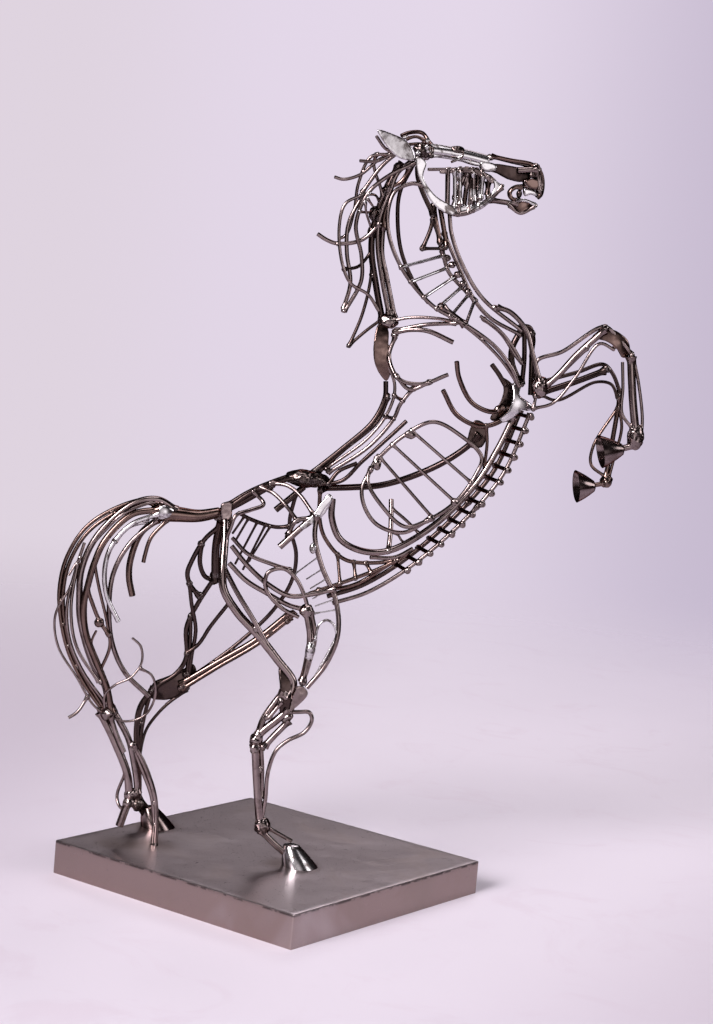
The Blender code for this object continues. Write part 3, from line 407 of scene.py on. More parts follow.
def lay_head():
    """The face bar, the muzzle, the jaw, the cheek cage and strap, and the ear."""
    plate("face_bar", FACE_PLATE, 0, [(94, 739), (130, 736.5), (157, 731.5), (145, 720), (115, 726.5),
        (94, 725)], look=BRIGHT)
    weld("face_bar", 90, 731, 0, (17, 22, 17))
    rod("face_bar", ROD_4, [4, 10, 3], [(66, 743.5), (75, 747.5), (86.5, 748), (96, 737)])
    rod("face_bar", ROD_3, [8, 3], [(74, 736), (87, 737.5), (95, 735)])
    plate("muzzle", MUZZLE_PLATE, 0, [(147, 724), (165, 723), (185, 723.5), (202, 728), (204, 716),
        (190, 711), (170, 714), (158, 717)], look=STEEL)
    rod("muzzle", ROD_3, 0, [(156, 732), (175, 729), (201, 726)])
    plate("muzzle", NOSE_PLATE, 0, [(199, 727), (205, 721), (209, 711), (210, 703), (207, 697),
        (204, 698), (204, 708), (200, 716)])
    plate("muzzle", LIP_PLATE, 0, [(189.5, 712.5), (206.4, 713.4), (205.6, 704.5), (193.4, 705.4)])
    rod("muzzle", ROD_3, 0, [(195, 706.5), (183, 706), (176.5, 700), (179, 694), (188, 692.5)])
    rod("lower_jaw", ROD_4, [-4, 0], [(158, 690), (175, 689), (190, 688.5)], look=DARK)
    plate("lower_jaw", LIP_PLATE, 0, [(178, 687), (188, 681), (203, 687), (204, 690), (197, 694),
        (188, 690)])
    for y, side in ((-14, "right"), (12, "left")):
        rod("cheek", ROD_3, [y, y * 0.5], [(95, 714), (115, 716), (143, 718), (158, 711), (168, 704)],
            name="cheek_top_" + side, look=STEEL)
        rod("cheek", ROD_5, [y, y * 0.5], [(114, 678), (124, 674), (137, 676), (150, 684), (160, 693),
            (169, 704)], name="cheek_low_" + side)
    for top, low in (((115, 716), (117, 677)), ((126, 717), (129, 675)), ((138, 718), (138, 677)),
        ((147, 716), (148, 683))):
        rod("cheek", ROD_3, ["cheek_top_right", "cheek_low_right"], [top, low])
    for top, low in (((134, 716), (121, 677)), ((143, 716), (142, 681))):
        rod("cheek", ROD_3, ["cheek_top_left", "cheek_low_left"], [top, low])
    rod("cheek", ROD_3, ["cheek_top_right", "cheek_top_left"], [(155, 712), (157, 712)])
    rod("cheek", ROD_3, ["cheek_low_right", "cheek_low_left"], [(127, 674), (129, 674)])
    plate("cheek_strap", THIN_SHEET, -18, [(86, 727), (91, 727), (96, 710), (104, 694), (118, 685),
        (127, 677), (118, 671), (103, 681), (95, 690), (88, 708)], look=BRIGHT)
    plate("ear_right", THIN_SHEET, -19, [(42.5, 747), (60, 744), (72, 739), (80, 729), (82, 721),
        (75, 720.5), (65, 722.5), (57, 728), (50, 735)], lean=0.12, look=BRIGHT)


def lay_neck():
    """The neck loop, the crest, the mane, the jowl, and the throat rods with their rungs."""
    rod("neck_loop", ROD_4, [-12, -15, -17, -20, -27, -28, -26, -22], [(92, 699), (80, 699), (65, 690),
        (60, 669), (64, 645), (81, 614), (112, 584), (145, 569), (177, 550), (196, 530), (206, 512)],
        name="neck_loop", look=STEEL)
    rod("neck_loop", ROD_3, ["neck_loop", -25, -20], [(136, 570), (165, 554), (186, 536), (203, 516)])
    rod("crest_dark", ROD_6, 4, [(66, 714), (57, 694), (47.5, 655), (47.3, 632), (55, 598), (64, 566)],
        name="crest_dark", look=DARK)
    rod("crest_light", ROD_5, [-7, -4, -2], [(80, 722), (66, 708), (60, 688), (52.5, 661), (53, 637),
        (60, 606), (70, 572)], name="crest_light", look=STEEL)
    weld("crest_light", 70, 565, -1, (20, 16, 15))
    rod("crest_light", ROD_5, [2, 0], [(56.5, 655), (58, 629), (64, 609), (76, 569)])
    rod("crest_light", ROD_4, [0, "crest_light"], [(-6.5, 643), (3, 638), (13, 635.5), (33, 639),
        (43, 646), (52, 658)])
    rod("mane_top", ROD_3, [-6, -8], [(5, 698.5), (14, 697), (30, 703), (47, 719), (70, 731)],
        name="mane_top", look=STEEL)
    rod("mane_top", ROD_3, [-12, "mane_top"], [(28, 716), (44, 717), (60, 727)])
    rod("mane_top", ROD_4, ["mane_top", -2], [(66, 729), (50, 713), (33, 686)])
    rod("mane_top", ROD_3, ["mane_top", -6, 0, 3], [(56, 726), (39, 721), (29, 695), (27, 668),
        (21, 644), (14, 640)])
    rod("mane_back", ROD_3, [-2, -6], [(34, 684), (18, 674), (14, 652), (20, 617), (30, 598.5),
        (48, 589), (60, 574)], name="mane_back", look=STEEL)
    rod("mane_back", ROD_4, ["mane_back", 0], [(33, 684), (22.7, 655), (23.5, 628), (29.6, 599),
        (25, 573)])
    rod("mane_front", ROD_4, [-10, -12, -6, 0], [(82, 719), (59, 705.5), (39, 686), (30, 655),
        (38, 626), (40, 602), (31, 580), (26, 571)], look=BRIGHT)
    rod("crest_dark", ROD_3, ["crest_dark", 2], [(46, 633), (49, 605), (44, 570), (34, 539)],
        name="mane_low")
    rod("crest_dark", ROD_3, ["mane_low", 3], [(34, 539), (50, 555), (64, 567)])
    rod("crest_dark", ROD_3, ["mane_low", -2], [(46, 631), (36, 615.4), (22.7, 611.5)])
    rod("neck_left", ROD_4, [6, 12, 16, 18, 14], [(80, 716), (70, 690), (70, 664), (77, 632), (95, 600),
        (108, 586)], look=DARK)
    rod("jowl", ROD_4, [-8, -9], [(104, 680), (103.5, 660), (97, 638)], name="jowl", look=DARK)
    rod("jowl", ROD_3, ["jowl", -6], [(97, 638), (119, 640)])
    rod("jowl", ROD_5, [-8, "jowl"], [(84, 722), (86, 706), (92, 692), (104, 672)])
    rod("jowl", ROD_3, ["jowl", -6], [(104, 666), (111, 652), (115, 640)])
    rod("throat_front", ROD_4, [-6, -8, -10, -12], [(120, 675), (124, 655), (137, 627), (160, 596),
        (203, 567)], look=STEEL)
    rod("throat_back", ROD_4, [1, 3, 5], [(117, 654), (135, 622), (152, 594), (170, 577), (202, 563)],
        name="throat_back", look=STEEL)
    rod("throat_back", ROD_4, [-4, -2, "throat_back"], [(116, 638), (125, 617.5), (132.5, 610),
        (153, 592)], name="throat_inner")
    for back, front in (((78, 619), (119, 634)), ((89, 605), (123, 622)), ((103, 592), (130, 612)),
        ((117, 582), (138, 604)), ((131, 575), (146, 596)), ((146, 568), (152, 591))):
        rod("throat_back", ROD_3, ["neck_loop", "throat_inner"], [back, front])


def lay_shoulder():
    """The rods and the hook at the withers, and the spine down to the lump on the loin."""
    rod("shoulder_rods", ROD_3, [-3, -16, -24], [(74, 566), (91, 570.6), (118, 572), (137, 570)],
        look=STEEL)
    rod("shoulder_rods", ROD_4, [-8, -17, -24], [(78, 557), (107, 565), (137, 569)])
    rod("shoulder_rods", ROD_5, [-8, -19, -24], [(77, 555), (93, 559), (110, 559), (136, 550)])
    plate("shoulder_hook", SHEET, -9, [(62, 560), (57, 545), (58, 523), (67, 514), (71, 507), (77, 512),
        (74, 535), (70, 557)])
    rod("shoulder_hook", ROD_4, [-8, -10, -20, -24, -26], [(78, 551), (74, 531), (86, 510), (108, 507),
        (134, 518.5)], name="shoulder_hook", look=STEEL)
    rod("shoulder_hook", ROD_4, ["shoulder_hook", "shoulder_hook"], [(83, 514), (97, 501), (117, 509)])
    rod("loin", ROD_5, [0, 0], [(73, 507), (73.5, 491), (64, 467), (35, 437), (8, 412)], look=DARK)
    rod("loin", ROD_4, [1, 1], [(77, 492), (68, 467), (38, 437), (14, 412)])
    weld("loin", 4, 406, 0, (44, 24, 17))
    rod("spine_right", ROD_3, [-8, -7, -4], [(67, 533), (82, 504), (79, 480), (61, 451), (22, 417)],
        name="spine_light", look=STEEL)
    rod("spine_right", ROD_4, [-18, -12, -8], [(100, 502), (89, 485), (84, 471), (62, 442), (24, 413)],
        name="spine_dark")
    for high, low in (((82, 493), (92, 488)), ((76, 473), (85, 471)), ((22, 416), (27, 415))):
        rod("spine_right", ROD_3, ["spine_light", "spine_dark"], [high, low])


def lay_ribs():
    """The frame of ribs, the rib on the left, the keel and the rods inside it."""
    rod("rib_frame", ROD_4, [-24, -30, -34, -34, -34, -38, -42, -42, -36, -24], [(70, 429), (94, 454),
        (123, 471), (150, 461), (175, 440), (171, 423), (154, 395), (129, 375), (105, 366), (81, 384),
        (64, 409), (71, 432)], name="rib_frame", look=STEEL)
    rod("rib_frame", ROD_4, ["rib_frame", -34, -38, "rib_frame"], [(67, 420), (59, 400), (64, 381),
        (78, 365.5), (104, 360), (128, 374)])
    for high, low in (((73, 434), (131, 377)), ((86, 446), (153, 394)), ((105, 459), (167, 414))):
        rod("rib_frame", ROD_3, ["rib_frame", "rib_frame"], [high, low])
    rod("loin", ROD_4, [-7, -18, -26], [(16, 401), (39, 407), (56, 426), (87, 459), (97, 470)],
        name="loin_right")
    rod("loin", ROD_4, ["loin_right", -9], [(26, 401), (34, 415), (52, 425)])
    rod("rib_left", ROD_6, [10, 34, 44, 42, 34, 26], [(20, 398), (50, 401), (77, 405), (105, 415),
        (137, 432), (161, 451), (170, 463)], look=DARK)
    plate("rib_left", SHEET, 27, [(160, 450), (174, 450), (178, 470), (165, 476)])
    rod("keel", ROD_6, [-30, -26, -20, -12, -8, -6], [(31, 388), (32, 369), (42, 349), (64.5, 339),
        (91, 341), (131, 367), (170, 411), (190, 449), (203, 482)], name="keel", look=STEEL)
    rod("keel", ROD_5, [-4, "keel"], [(89, 392), (91, 365), (90, 342)], name="post")
    rod("keel", ROD_3, ["post", "keel"], [(90, 384), (106, 372), (121, 359)])
    rod("keel_inner", ROD_4, [12, 16, 10, 0], [(18, 396), (20, 368), (27, 349), (48, 329.5), (78, 328),
        (102, 334), (112, 342)], name="keel_inner", look=BROWN)
    rod("keel_inner", ROD_4, [2, 6, "keel_inner"], [(16, 293), (59, 311), (88, 325), (101, 334)],
        name="belly_rod")
    rod("keel_inner", ROD_4, ["belly_rod", 12, "belly_rod"], [(26, 297), (60, 305), (98, 331)])
    for high, low in (((40, 332), (46, 306)), ((57, 328), (61, 312)), ((70, 328), (75, 319))):
        rod("keel_inner", ROD_3, ["keel_inner", "belly_rod"], [high, low])


def lay_breast():
    """The breast rods, the dark sheet, the brown arcs and the bright plate."""
    rod("breast_right", ROD_5, [-14, -20, -24], [(176, 588), (190, 584), (207.5, 567.5), (216, 545),
        (226, 519)], look=STEEL)
    rod("breast_left", ROD_5, [8, 14, 20], [(202, 571), (210, 571), (215, 560), (215, 545), (222, 522)],
        name="breast_left", look=DARK)
    rod("breast_left", ROD_5, [8, 6], [(205, 570), (208, 539), (208, 515)])
    rod("breast_left", ROD_5, ["breast_left", 10], [(213, 566), (216, 530), (217.5, 505)])
    rod("breast_left", ROD_6, [8, 3], [(203, 570), (195, 550), (196, 535), (205, 517)])
    rod("breast_inner", ROD_3, -16, [(160, 578), (180, 566), (196, 550), (206, 536)], look=STEEL)
    rod("breast_inner", ROD_3, [-14, -14, -16], [(164, 575), (183, 562), (200, 541), (205, 537)])
    plate("breast_sheet", SHEET, 2, [(185, 521), (190, 510), (189, 497.5), (180, 478), (200, 478),
        (206, 486), (201, 512)], look=DARK)
    rod("breast_sheet", ROD_5, 2, [(176, 532), (184, 523), (192, 512)])
    rod("breast_arcs", ROD_5, [-22, -14, -6], [(141, 532), (145, 516), (160, 493), (181, 485.5),
        (192, 491)], look=BROWN)
    rod("breast_arcs", ROD_5, [-20, -12, -6], [(130, 503), (146, 480), (170, 470.5), (190, 477),
        (200, 489)], name="arc_low")
    rod("breast_arcs", ROD_5, [-6, -6], [(186, 489), (202, 490)])
    rod("breast_arcs", ROD_3, ["arc_low", -7], [(176, 472), (179, 455), (178, 420)])
    plate("breast_plate", SHEET, -16, [(195, 512.5), (205, 516), (210, 507.5), (220, 499), (226, 497),
        (217.5, 491), (207.5, 487.5), (200, 494)], look=BRIGHT)


def lay_forelegs():
    """Both raised forelegs, each in a plane of its own."""
    right = -28
    weld("forearm_right", 226, 514, -20, (16, 18, 20), look=STEEL)
    rod("forearm_right", ROD_4, [-20, right], [(222, 521), (221, 539), (245, 550), (285, 578),
        (298, 570), (316, 553)])
    rod("forearm_right", ROD_6, [-20, right], [(222, 506), (242, 525), (261, 549), (286, 575)])
    rod("forearm_right", ROD_3, [-20, right], [(222, 492), (241, 499), (261, 526), (282, 561),
        (298, 556)])
    rod("forearm_right", ROD_3, -20, [(222, 492), (224, 512)])
    plate("forearm_right", SHEET, right, [(275, 562), (292, 573), (309, 562), (308, 547), (297, 554)])
    rod("cannon_fore_right", ROD_8, right, [(315, 551), (318, 530), (322, 505), (328, 476)], look=STEEL)
    rod("cannon_fore_right", ROD_3, right, [(318, 549), (325, 527), (333, 491), (334, 466)])
    rod("cannon_fore_right", ROD_3, right, [(307, 545), (310, 520), (312, 494), (324, 480)])
    weld("cannon_fore_right", 328, 472, right, (17, 13, 26))
    rod("cannon_fore_right", ROD_6, right, [(330, 464), (317, 460)])
    left = 27
    weld("forearm_left", 226, 512, 19, (16, 14, 20), look=DARK)
    rod("forearm_left", ROD_4, [20, left], [(222, 517), (262, 531), (288, 541), (298, 533), (308, 514)])
    rod("forearm_left", ROD_6, [20, left], [(228, 508), (262, 522), (290, 535)])
    rod("forearm_left", ROD_3, [20, left], [(228, 506), (245, 502), (282, 523), (298, 522), (306, 509)])
    rod("cannon_fore_left", ROD_5, left, [(308, 510), (306, 481), (302, 430)], look=BROWN)
    rod("cannon_fore_left", ROD_3, left, [(308, 500), (313, 480), (308, 447), (305, 428)])
    rod("cannon_fore_left", ROD_3, left, [(307, 500), (286, 459), (286, 441), (302, 430)])
    weld("cannon_fore_left", 303, 426, left, (13, 12, 14))
    rod("cannon_fore_left", ROD_5, left, [(303, 424), (291, 421)])


def lay_croup():
    """The croup, the dock cone, the hip rods and the thin wires between the hips."""
    rod("croup_top", ROD_5, -5, [(-70, 372), (-51, 387), (-30, 398), (-4, 408)], look=DARK)
    rod("croup_top", ROD_5, 2, [(-72, 374), (-51, 389), (-30, 400), (-2, 412)])
    rod("croup_top", ROD_6, [0, -2], [(-78, 366), (-60, 377), (-30, 397)])
    rod("dock", DOCK_NECK, 0, [(-78, 367), (-98, 362), (-120, 362), (-137, 362)], end_stock=DOCK_END,
        look=BROWN)
    rod("hip_rods", ROD_4, [-8, -24, -30], [(-40, 394), (-27.6, 389.5), (-12.4, 376.5), (-2, 364)],
        look=STEEL)
    rod("hip_rods", ROD_4, [-8, -20, -32], [(-30, 399), (-15, 398), (-2, 390), (14, 371)])
    rod("hip_rods", ROD_6, [-32, -34], [(15, 371), (3, 358), (-17, 337)], name="hip_bar")
    rod("hip_rods", ROD_5, ["hip_bar", -29], [(10, 368), (-3, 364), (-10, 349)])
    rod("croup_inner", ROD_6, [8, 10], [(-24, 373), (-8, 388), (2, 398)], name="stub", look=DARK)
    rod("croup_inner", ROD_4, ["stub", 28, 42, 50, 54], [(-5, 389), (-9, 361), (0, 331), (-2, 305),
        (-18, 274), (-51, 238), (-92, 203)], name="thigh_left")
    rod("croup_inner", ROD_4, [14, 26, "thigh_left"], [(-60, 368), (-46.5, 362), (-23, 356.5),
        (-8, 358)], name="hip_left")
    for high, low in (((-54, 365), (-64, 347)), ((-49, 363), (-61, 339)), ((-41, 360), (-59, 317)),
        ((-33, 358), (-51, 312)), ((-28, 357), (-46, 321))):
        rod("croup_inner", WIRE, ["hip_left", 30], [high, low])


def lay_hind_right():
    """The right hind leg with its hip strap, from the rump to the hoof."""
    side = -50
    rod("shank_right", ROD_8, [-8, -28, -36, -42, -47, side], [(-73, 371), (-71, 346), (-70.5, 314),
        (-68, 292), (-53, 270), (-31, 249), (-9, 225), (8, 204), (5, 188)], name="shank_right",
        look=STEEL)
    rod("shank_right", ROD_4, [-8, -18, -26, "shank_right"], [(-46, 389), (-36, 378), (-49, 371),
        (-62, 365), (-66.5, 352), (-68, 338)])
    rod("shank_right", ROD_5, ["shank_right", -46, "shank_right"], [(-69, 316), (-55, 290), (-36, 263),
        (-16, 232)])
    plate("shank_right", THICK_SHEET, side, [(-20, 231), (-3, 222), (6, 211), (11, 210), (17, 204),
        (7.5, 190), (4, 176), (-3, 172), (-9, 186), (-8.5, 205)], plane=side)
    rod("thigh_right", ROD_5, [-37, -46, -48], [(-64, 335), (-47, 317), (-24, 299), (-2, 289.5),
        (20, 293), (40, 299)], look=STEEL)
    rod("thigh_right", ROD_4, [-34, -44, -47], [(-64, 343), (-47, 328), (-24, 320), (-4, 315)])
    rod("thigh_right", ROD_5, [-40, -44, -45], [(-65, 318), (-47, 302), (-24, 290), (-2, 280),
        (14, 277)])
    rod("thigh_right", ROD_4, [-46, -49, -47], [(8, 269), (-11, 278), (-27, 296), (-26, 311),
        (-11, 316), (2, 307), (12, 290), (17, 276)])
    weld("thigh_right", 15, 276, -46, (14, 12, 13))
    rod("thigh_right", ROD_6, [-47, -49], [(15, 276), (21, 250), (20, 226), (17, 205)])
    rod("thigh_right", ROD_4, [-47, -49], [(20, 276), (26, 250), (22, 222), (18, 205)])
    plate("hip_strap", SHEET, -34, [(24, 394), (32, 390), (21, 364), (13, 368)], look=BRIGHT)
    rod("hip_strap", ROD_5, [-35, -42, -50, side], [(17, 370), (17, 349), (26.7, 320), (42, 291),
        (48, 266), (47, 246), (38, 222), (22, 199)], name="flank", look=STEEL)
    rod("hip_strap", WIRE, ["flank", side, "flank"], [(46, 256), (36, 226), (23, 206)])
    rod("hip_strap", WIRE, [side, "flank"], [(26, 248), (29, 263), (36, 268), (43, 264), (46, 254)])
    rod("cannon_right", ROD_8, side, [(-1, 186), (-11, 176), (-27, 160), (-30, 148)], plane=side,
        name="hock_bar", look=STEEL)
    rod("cannon_right", ROD_6, side, [(1, 176), (-12.5, 160), (-21, 149)], plane=side)
    rod("cannon_right", ROD_6, side, [(-7, 204), (-15, 192), (-24, 176), (-28, 160)], plane=side)
    rod("cannon_right", ROD_8, side, [(-30, 154), (-26, 122), (-21, 88), (-18, 70)], plane=side,
        name="cannon")
    rod("cannon_right", ROD_4, side, [(-24, 150), (-21, 128), (-19, 100)], plane=side)
    weld("cannon_right", -16, 71, side, (16, 13, 17), plane=side)
    rod("cannon_right", ROD_6, side, [(-18, 67), (-3, 53.5), (8, 45)], plane=side)
    rod("cannon_right", ROD_4, side, [(-12, 70), (0, 64), (14, 57)], plane=side)
    rod("cannon_right", ROD_4, ["hock_bar", side, "cannon"], [(0, 180), (10, 185), (20, 185), (23, 178),
        (17.5, 166), (1, 156), (-9, 146), (-15, 125), (-15.5, 95), (-17, 72)], plane=side)


def lay_hind_left():
    """The left hind leg, from the rump to the hoof."""
    plane = 40
    rod("rump_left", ROD_8, [6, 30, 42], [(-76, 362), (-79, 332), (-77, 300)], name="rump", look=DARK)
    rod("rump_left", ROD_5, ["rump", 30, 44], [(-79, 354), (-90, 340), (-101, 318), (-104.5, 305),
        (-101, 294), (-92, 284)], name="rump_bow")
    rod("rump_left", ROD_5, ["rump_bow", 44], [(-93, 335), (-93, 315), (-87, 303), (-78, 300)])
    rod("rump_left", ROD_5, [42, 48, 50, 52], [(-77, 304), (-92, 276), (-101, 252), (-99, 222),
        (-107, 206), (-126, 192)], name="hamstring")
    rod("rump_left", ROD_4, ["rump_bow", 50, 53], [(-101, 296), (-98, 275), (-92, 250), (-94, 222),
        (-95, 203)])
    rod("rump_left", ROD_4, ["hamstring", 53], [(-97, 262), (-96.5, 240), (-97, 206)])
    rod("rump_left", ROD_4, [38, "hamstring"], [(-62, 278), (-78, 254), (-88, 236), (-97, 226)])
    rod("shank_left", ROD_6, [45, 54], [(4, 266), (-27.5, 237), (-66, 210.5), (-100, 187)], plane=plane,
        look=BROWN)
    rod("shank_left", ROD_5, [45, 54], [(6, 262), (-26, 233), (-65, 206), (-98, 182)], plane=plane)
    rod("shank_left", ROD_5, [45, 45], [(9, 268), (2, 258)], plane=plane)
    plate("hock_left", THICK_SHEET, 56, [(-126, 184), (-112, 194), (-97, 202), (-90, 200), (-88, 186),
        (-95, 178), (-106, 171), (-120, 169), (-131, 172)], plane=plane, look=DARK)
    rod("hock_left", ROD_6, [57, 62], [(-125, 182), (-137, 162), (-139, 140), (-136, 110), (-133, 85),
        (-132, 64)], plane=plane)
    rod("hock_left", ROD_4, [57, 60], [(-128, 178), (-133, 150), (-136, 115)], plane=plane)
    rod("hock_left", ROD_3, [56, 62], [(-92, 182), (-110, 167), (-121, 154), (-130, 138), (-134, 110),
        (-133, 90)], plane=plane)
    weld("hock_left", -132, 63, 63, (14, 13, 15), plane=plane)
    rod("hock_left", ROD_6, [63, 68], [(-132, 62), (-119, 46)], plane=plane)
    rod("hock_left", ROD_4, [63, 68], [(-131, 70), (-117, 54)], plane=plane)


def lay_tail():
    """The long rods, the wires and the curls of the tail."""
    rod("tail_outer", ROD_4, [3, 6, 2], [(-137, 369), (-150, 374), (-180, 363), (-206, 342.5),
        (-222, 312), (-226.5, 283), (-224, 257), (-214, 222), (-196.7, 191), (-174, 162)], look=BROWN)
    rod("tail_outer", ROD_4, [2, 6, 2], [(-137, 367), (-150, 371), (-178, 359.5), (-203, 339),
        (-218.5, 309), (-222.7, 283), (-220.5, 257), (-210.5, 222), (-194, 193.5), (-173, 164)])
    rod("tail_back", ROD_6, [-2, -4, -1], [(-120, 366), (-138, 375), (-158, 371.5), (-180, 354),
        (-198.7, 327.5), (-207, 300), (-207, 276), (-204, 251), (-190, 212), (-175, 187), (-171, 161)],
        name="tail_back", look=STEEL)
    rod("tail_back", ROD_3, ["tail_back", -10, "tail_back"], [(-136, 372), (-152, 369), (-172.5, 357.5),
        (-187.5, 341), (-201, 324)])
    rod("tail_middle", ROD_6, [-4, -10, -9, -4], [(-137, 365), (-162.5, 358.7), (-186, 332.5),
        (-195, 309), (-199, 290), (-202, 268), (-198, 240), (-185, 211), (-174, 188), (-167, 163)],
        name="tail_middle", look=BROWN)
    rod("tail_middle", ROD_3, ["tail_middle", -8, -4], [(-195, 309), (-188.7, 285), (-178, 250),
        (-174, 228), (-182, 202)])
    rod("tail_middle", ROD_4, ["tail_middle", -8], [(-200, 284), (-186, 253), (-176, 240)])
    weld("tail_middle", -186, 251, -9, (10, 8, 10))
    rod("tail_strand_1", ROD_5, [-6, -10, -10], [(-137, 361), (-162.5, 348.7), (-180, 326),
        (-184.6, 303), (-180.6, 277.5), (-167.5, 253)], look=BRIGHT)
    rod("tail_strand_2", ROD_5, [-1, -4, 4], [(-138, 355), (-162.5, 330), (-176, 300), (-177.5, 265),
        (-172, 232), (-157.8, 204), (-132, 181)], look=STEEL)
    rod("dock", ROD_6, [3, 2], [(-137, 356), (-152.5, 341), (-160.6, 314), (-160.6, 297), (-156, 279)])
    rod("dock", ROD_4, [-3, -5], [(-128, 356), (-142.5, 337.5), (-147, 320), (-148, 312.5)])
    rod("tail_side", ROD_3, [-3, -6, -6, -3], [(-206, 328), (-213, 298), (-218, 265), (-213, 232),
        (-198, 202), (-174, 172)], name="tail_side", look=STEEL)
    rod("tail_side", ROD_3, ["tail_side", -11, -8], [(-211, 306), (-214, 262), (-206, 226),
        (-182, 192)])
    rod("tail_side", WIRE, ["tail_side", -5, -3], [(-216, 284), (-228.5, 256), (-224, 226), (-203, 195),
        (-186, 170), (-173, 160)], name="tail_wire")
    rod("tail_side", WIRE, ["tail_wire", -14], [(-173, 160), (-152, 155), (-134, 163), (-126, 184),
        (-131, 202), (-142, 208)])
    rod("tail_side", WIRE, ["tail_wire", -14, -12], [(-173, 160), (-175, 180), (-165, 191), (-151, 199),
        (-142, 214), (-144, 230), (-153, 238)])
    rod("tail_low", ROD_8, [2, 0], [(-178, 163), (-161.5, 133.5), (-147, 101.7), (-143, 75)],
        look=STEEL)
    rod("tail_low", ROD_8, 0, [(-142.5, 82), (-146, 69), (-151, 50)])
    rod("tail_low", ROD_5, [-5, -6, -7], [(-168, 160), (-161, 142), (-152, 124)])
    rod("tail_low", ROD_3, [2, 10, 2], [(-149, 104), (-155.5, 81), (-153, 71), (-145, 64)])
    weld("tail_low", -171, 162, -2, (15, 17, 14))
    rod("tail_foot", ROD_6, [-1, 1], [(-168, 168), (-159.3, 155.5), (-148.4, 136.8), (-141.8, 115),
        (-137.4, 95), (-136, 84)], look=STEEL)
    rod("tail_foot", ROD_5, -1, [(-143, 132), (-129.8, 110), (-118.8, 82), (-115, 57), (-114.2, 30)])
    rod("tail_foot", ROD_5, [0.5, 0.5], [(-143, 128), (-132, 106), (-121.5, 82), (-117, 57),
        (-116.5, 30)])


def lay_belly_ladder():
    """Two rails, one each side of the middle plane, with rungs across, in a rear and a front length; the
    far rail is dark, as painted shade.
    """
    drawn = [(40, 285), (73, 298), (107, 321), (140, 351), (176, 392), (199, 427), (219, 487)]
    reach = 21
    rail = through([at(x, z, -reach) for x, z in drawn], settings("rods").spacing / MM)
    count = 15
    joint = 0.62
    first, last = 0.28, 0.985
    slant_right, slant_left, overhang = 3, 2, 2.5
    rung_step = 0.002
    for node, low, high in (("belly_ladder_rear", 0.0, joint), ("belly_ladder_front", joint, 1.0)):
        finishes[node] = STEEL
        cut = [round(share * (len(rail) - 1)) for share in (low, high)]
        for way in (1, -1):
            line = [world(Vector((p.x, p.y * way, p.z))) for p in rail[cut[0]:cut[1] + 1]]
            # The near rail is bare steel; the far rail is thicker and of dark scaled steel, as painted
            # shade between the rungs.
            rods.append(Rod(node, line, ROD_4 if way == 1 else ROD_5, None, STEEL if way == 1 else DARK))
        for i in range(count):
            share = first + (last - first) * i / (count - 1)
            if low < share < high:
                p = along(rail, share)
                right = world(Vector((p.x + slant_right, -reach - overhang, p.z)))
                left = world(Vector((p.x - slant_left, reach, p.z)))
                rods.append(Rod(node, through([right, left], rung_step), ROD_4, None, STEEL))


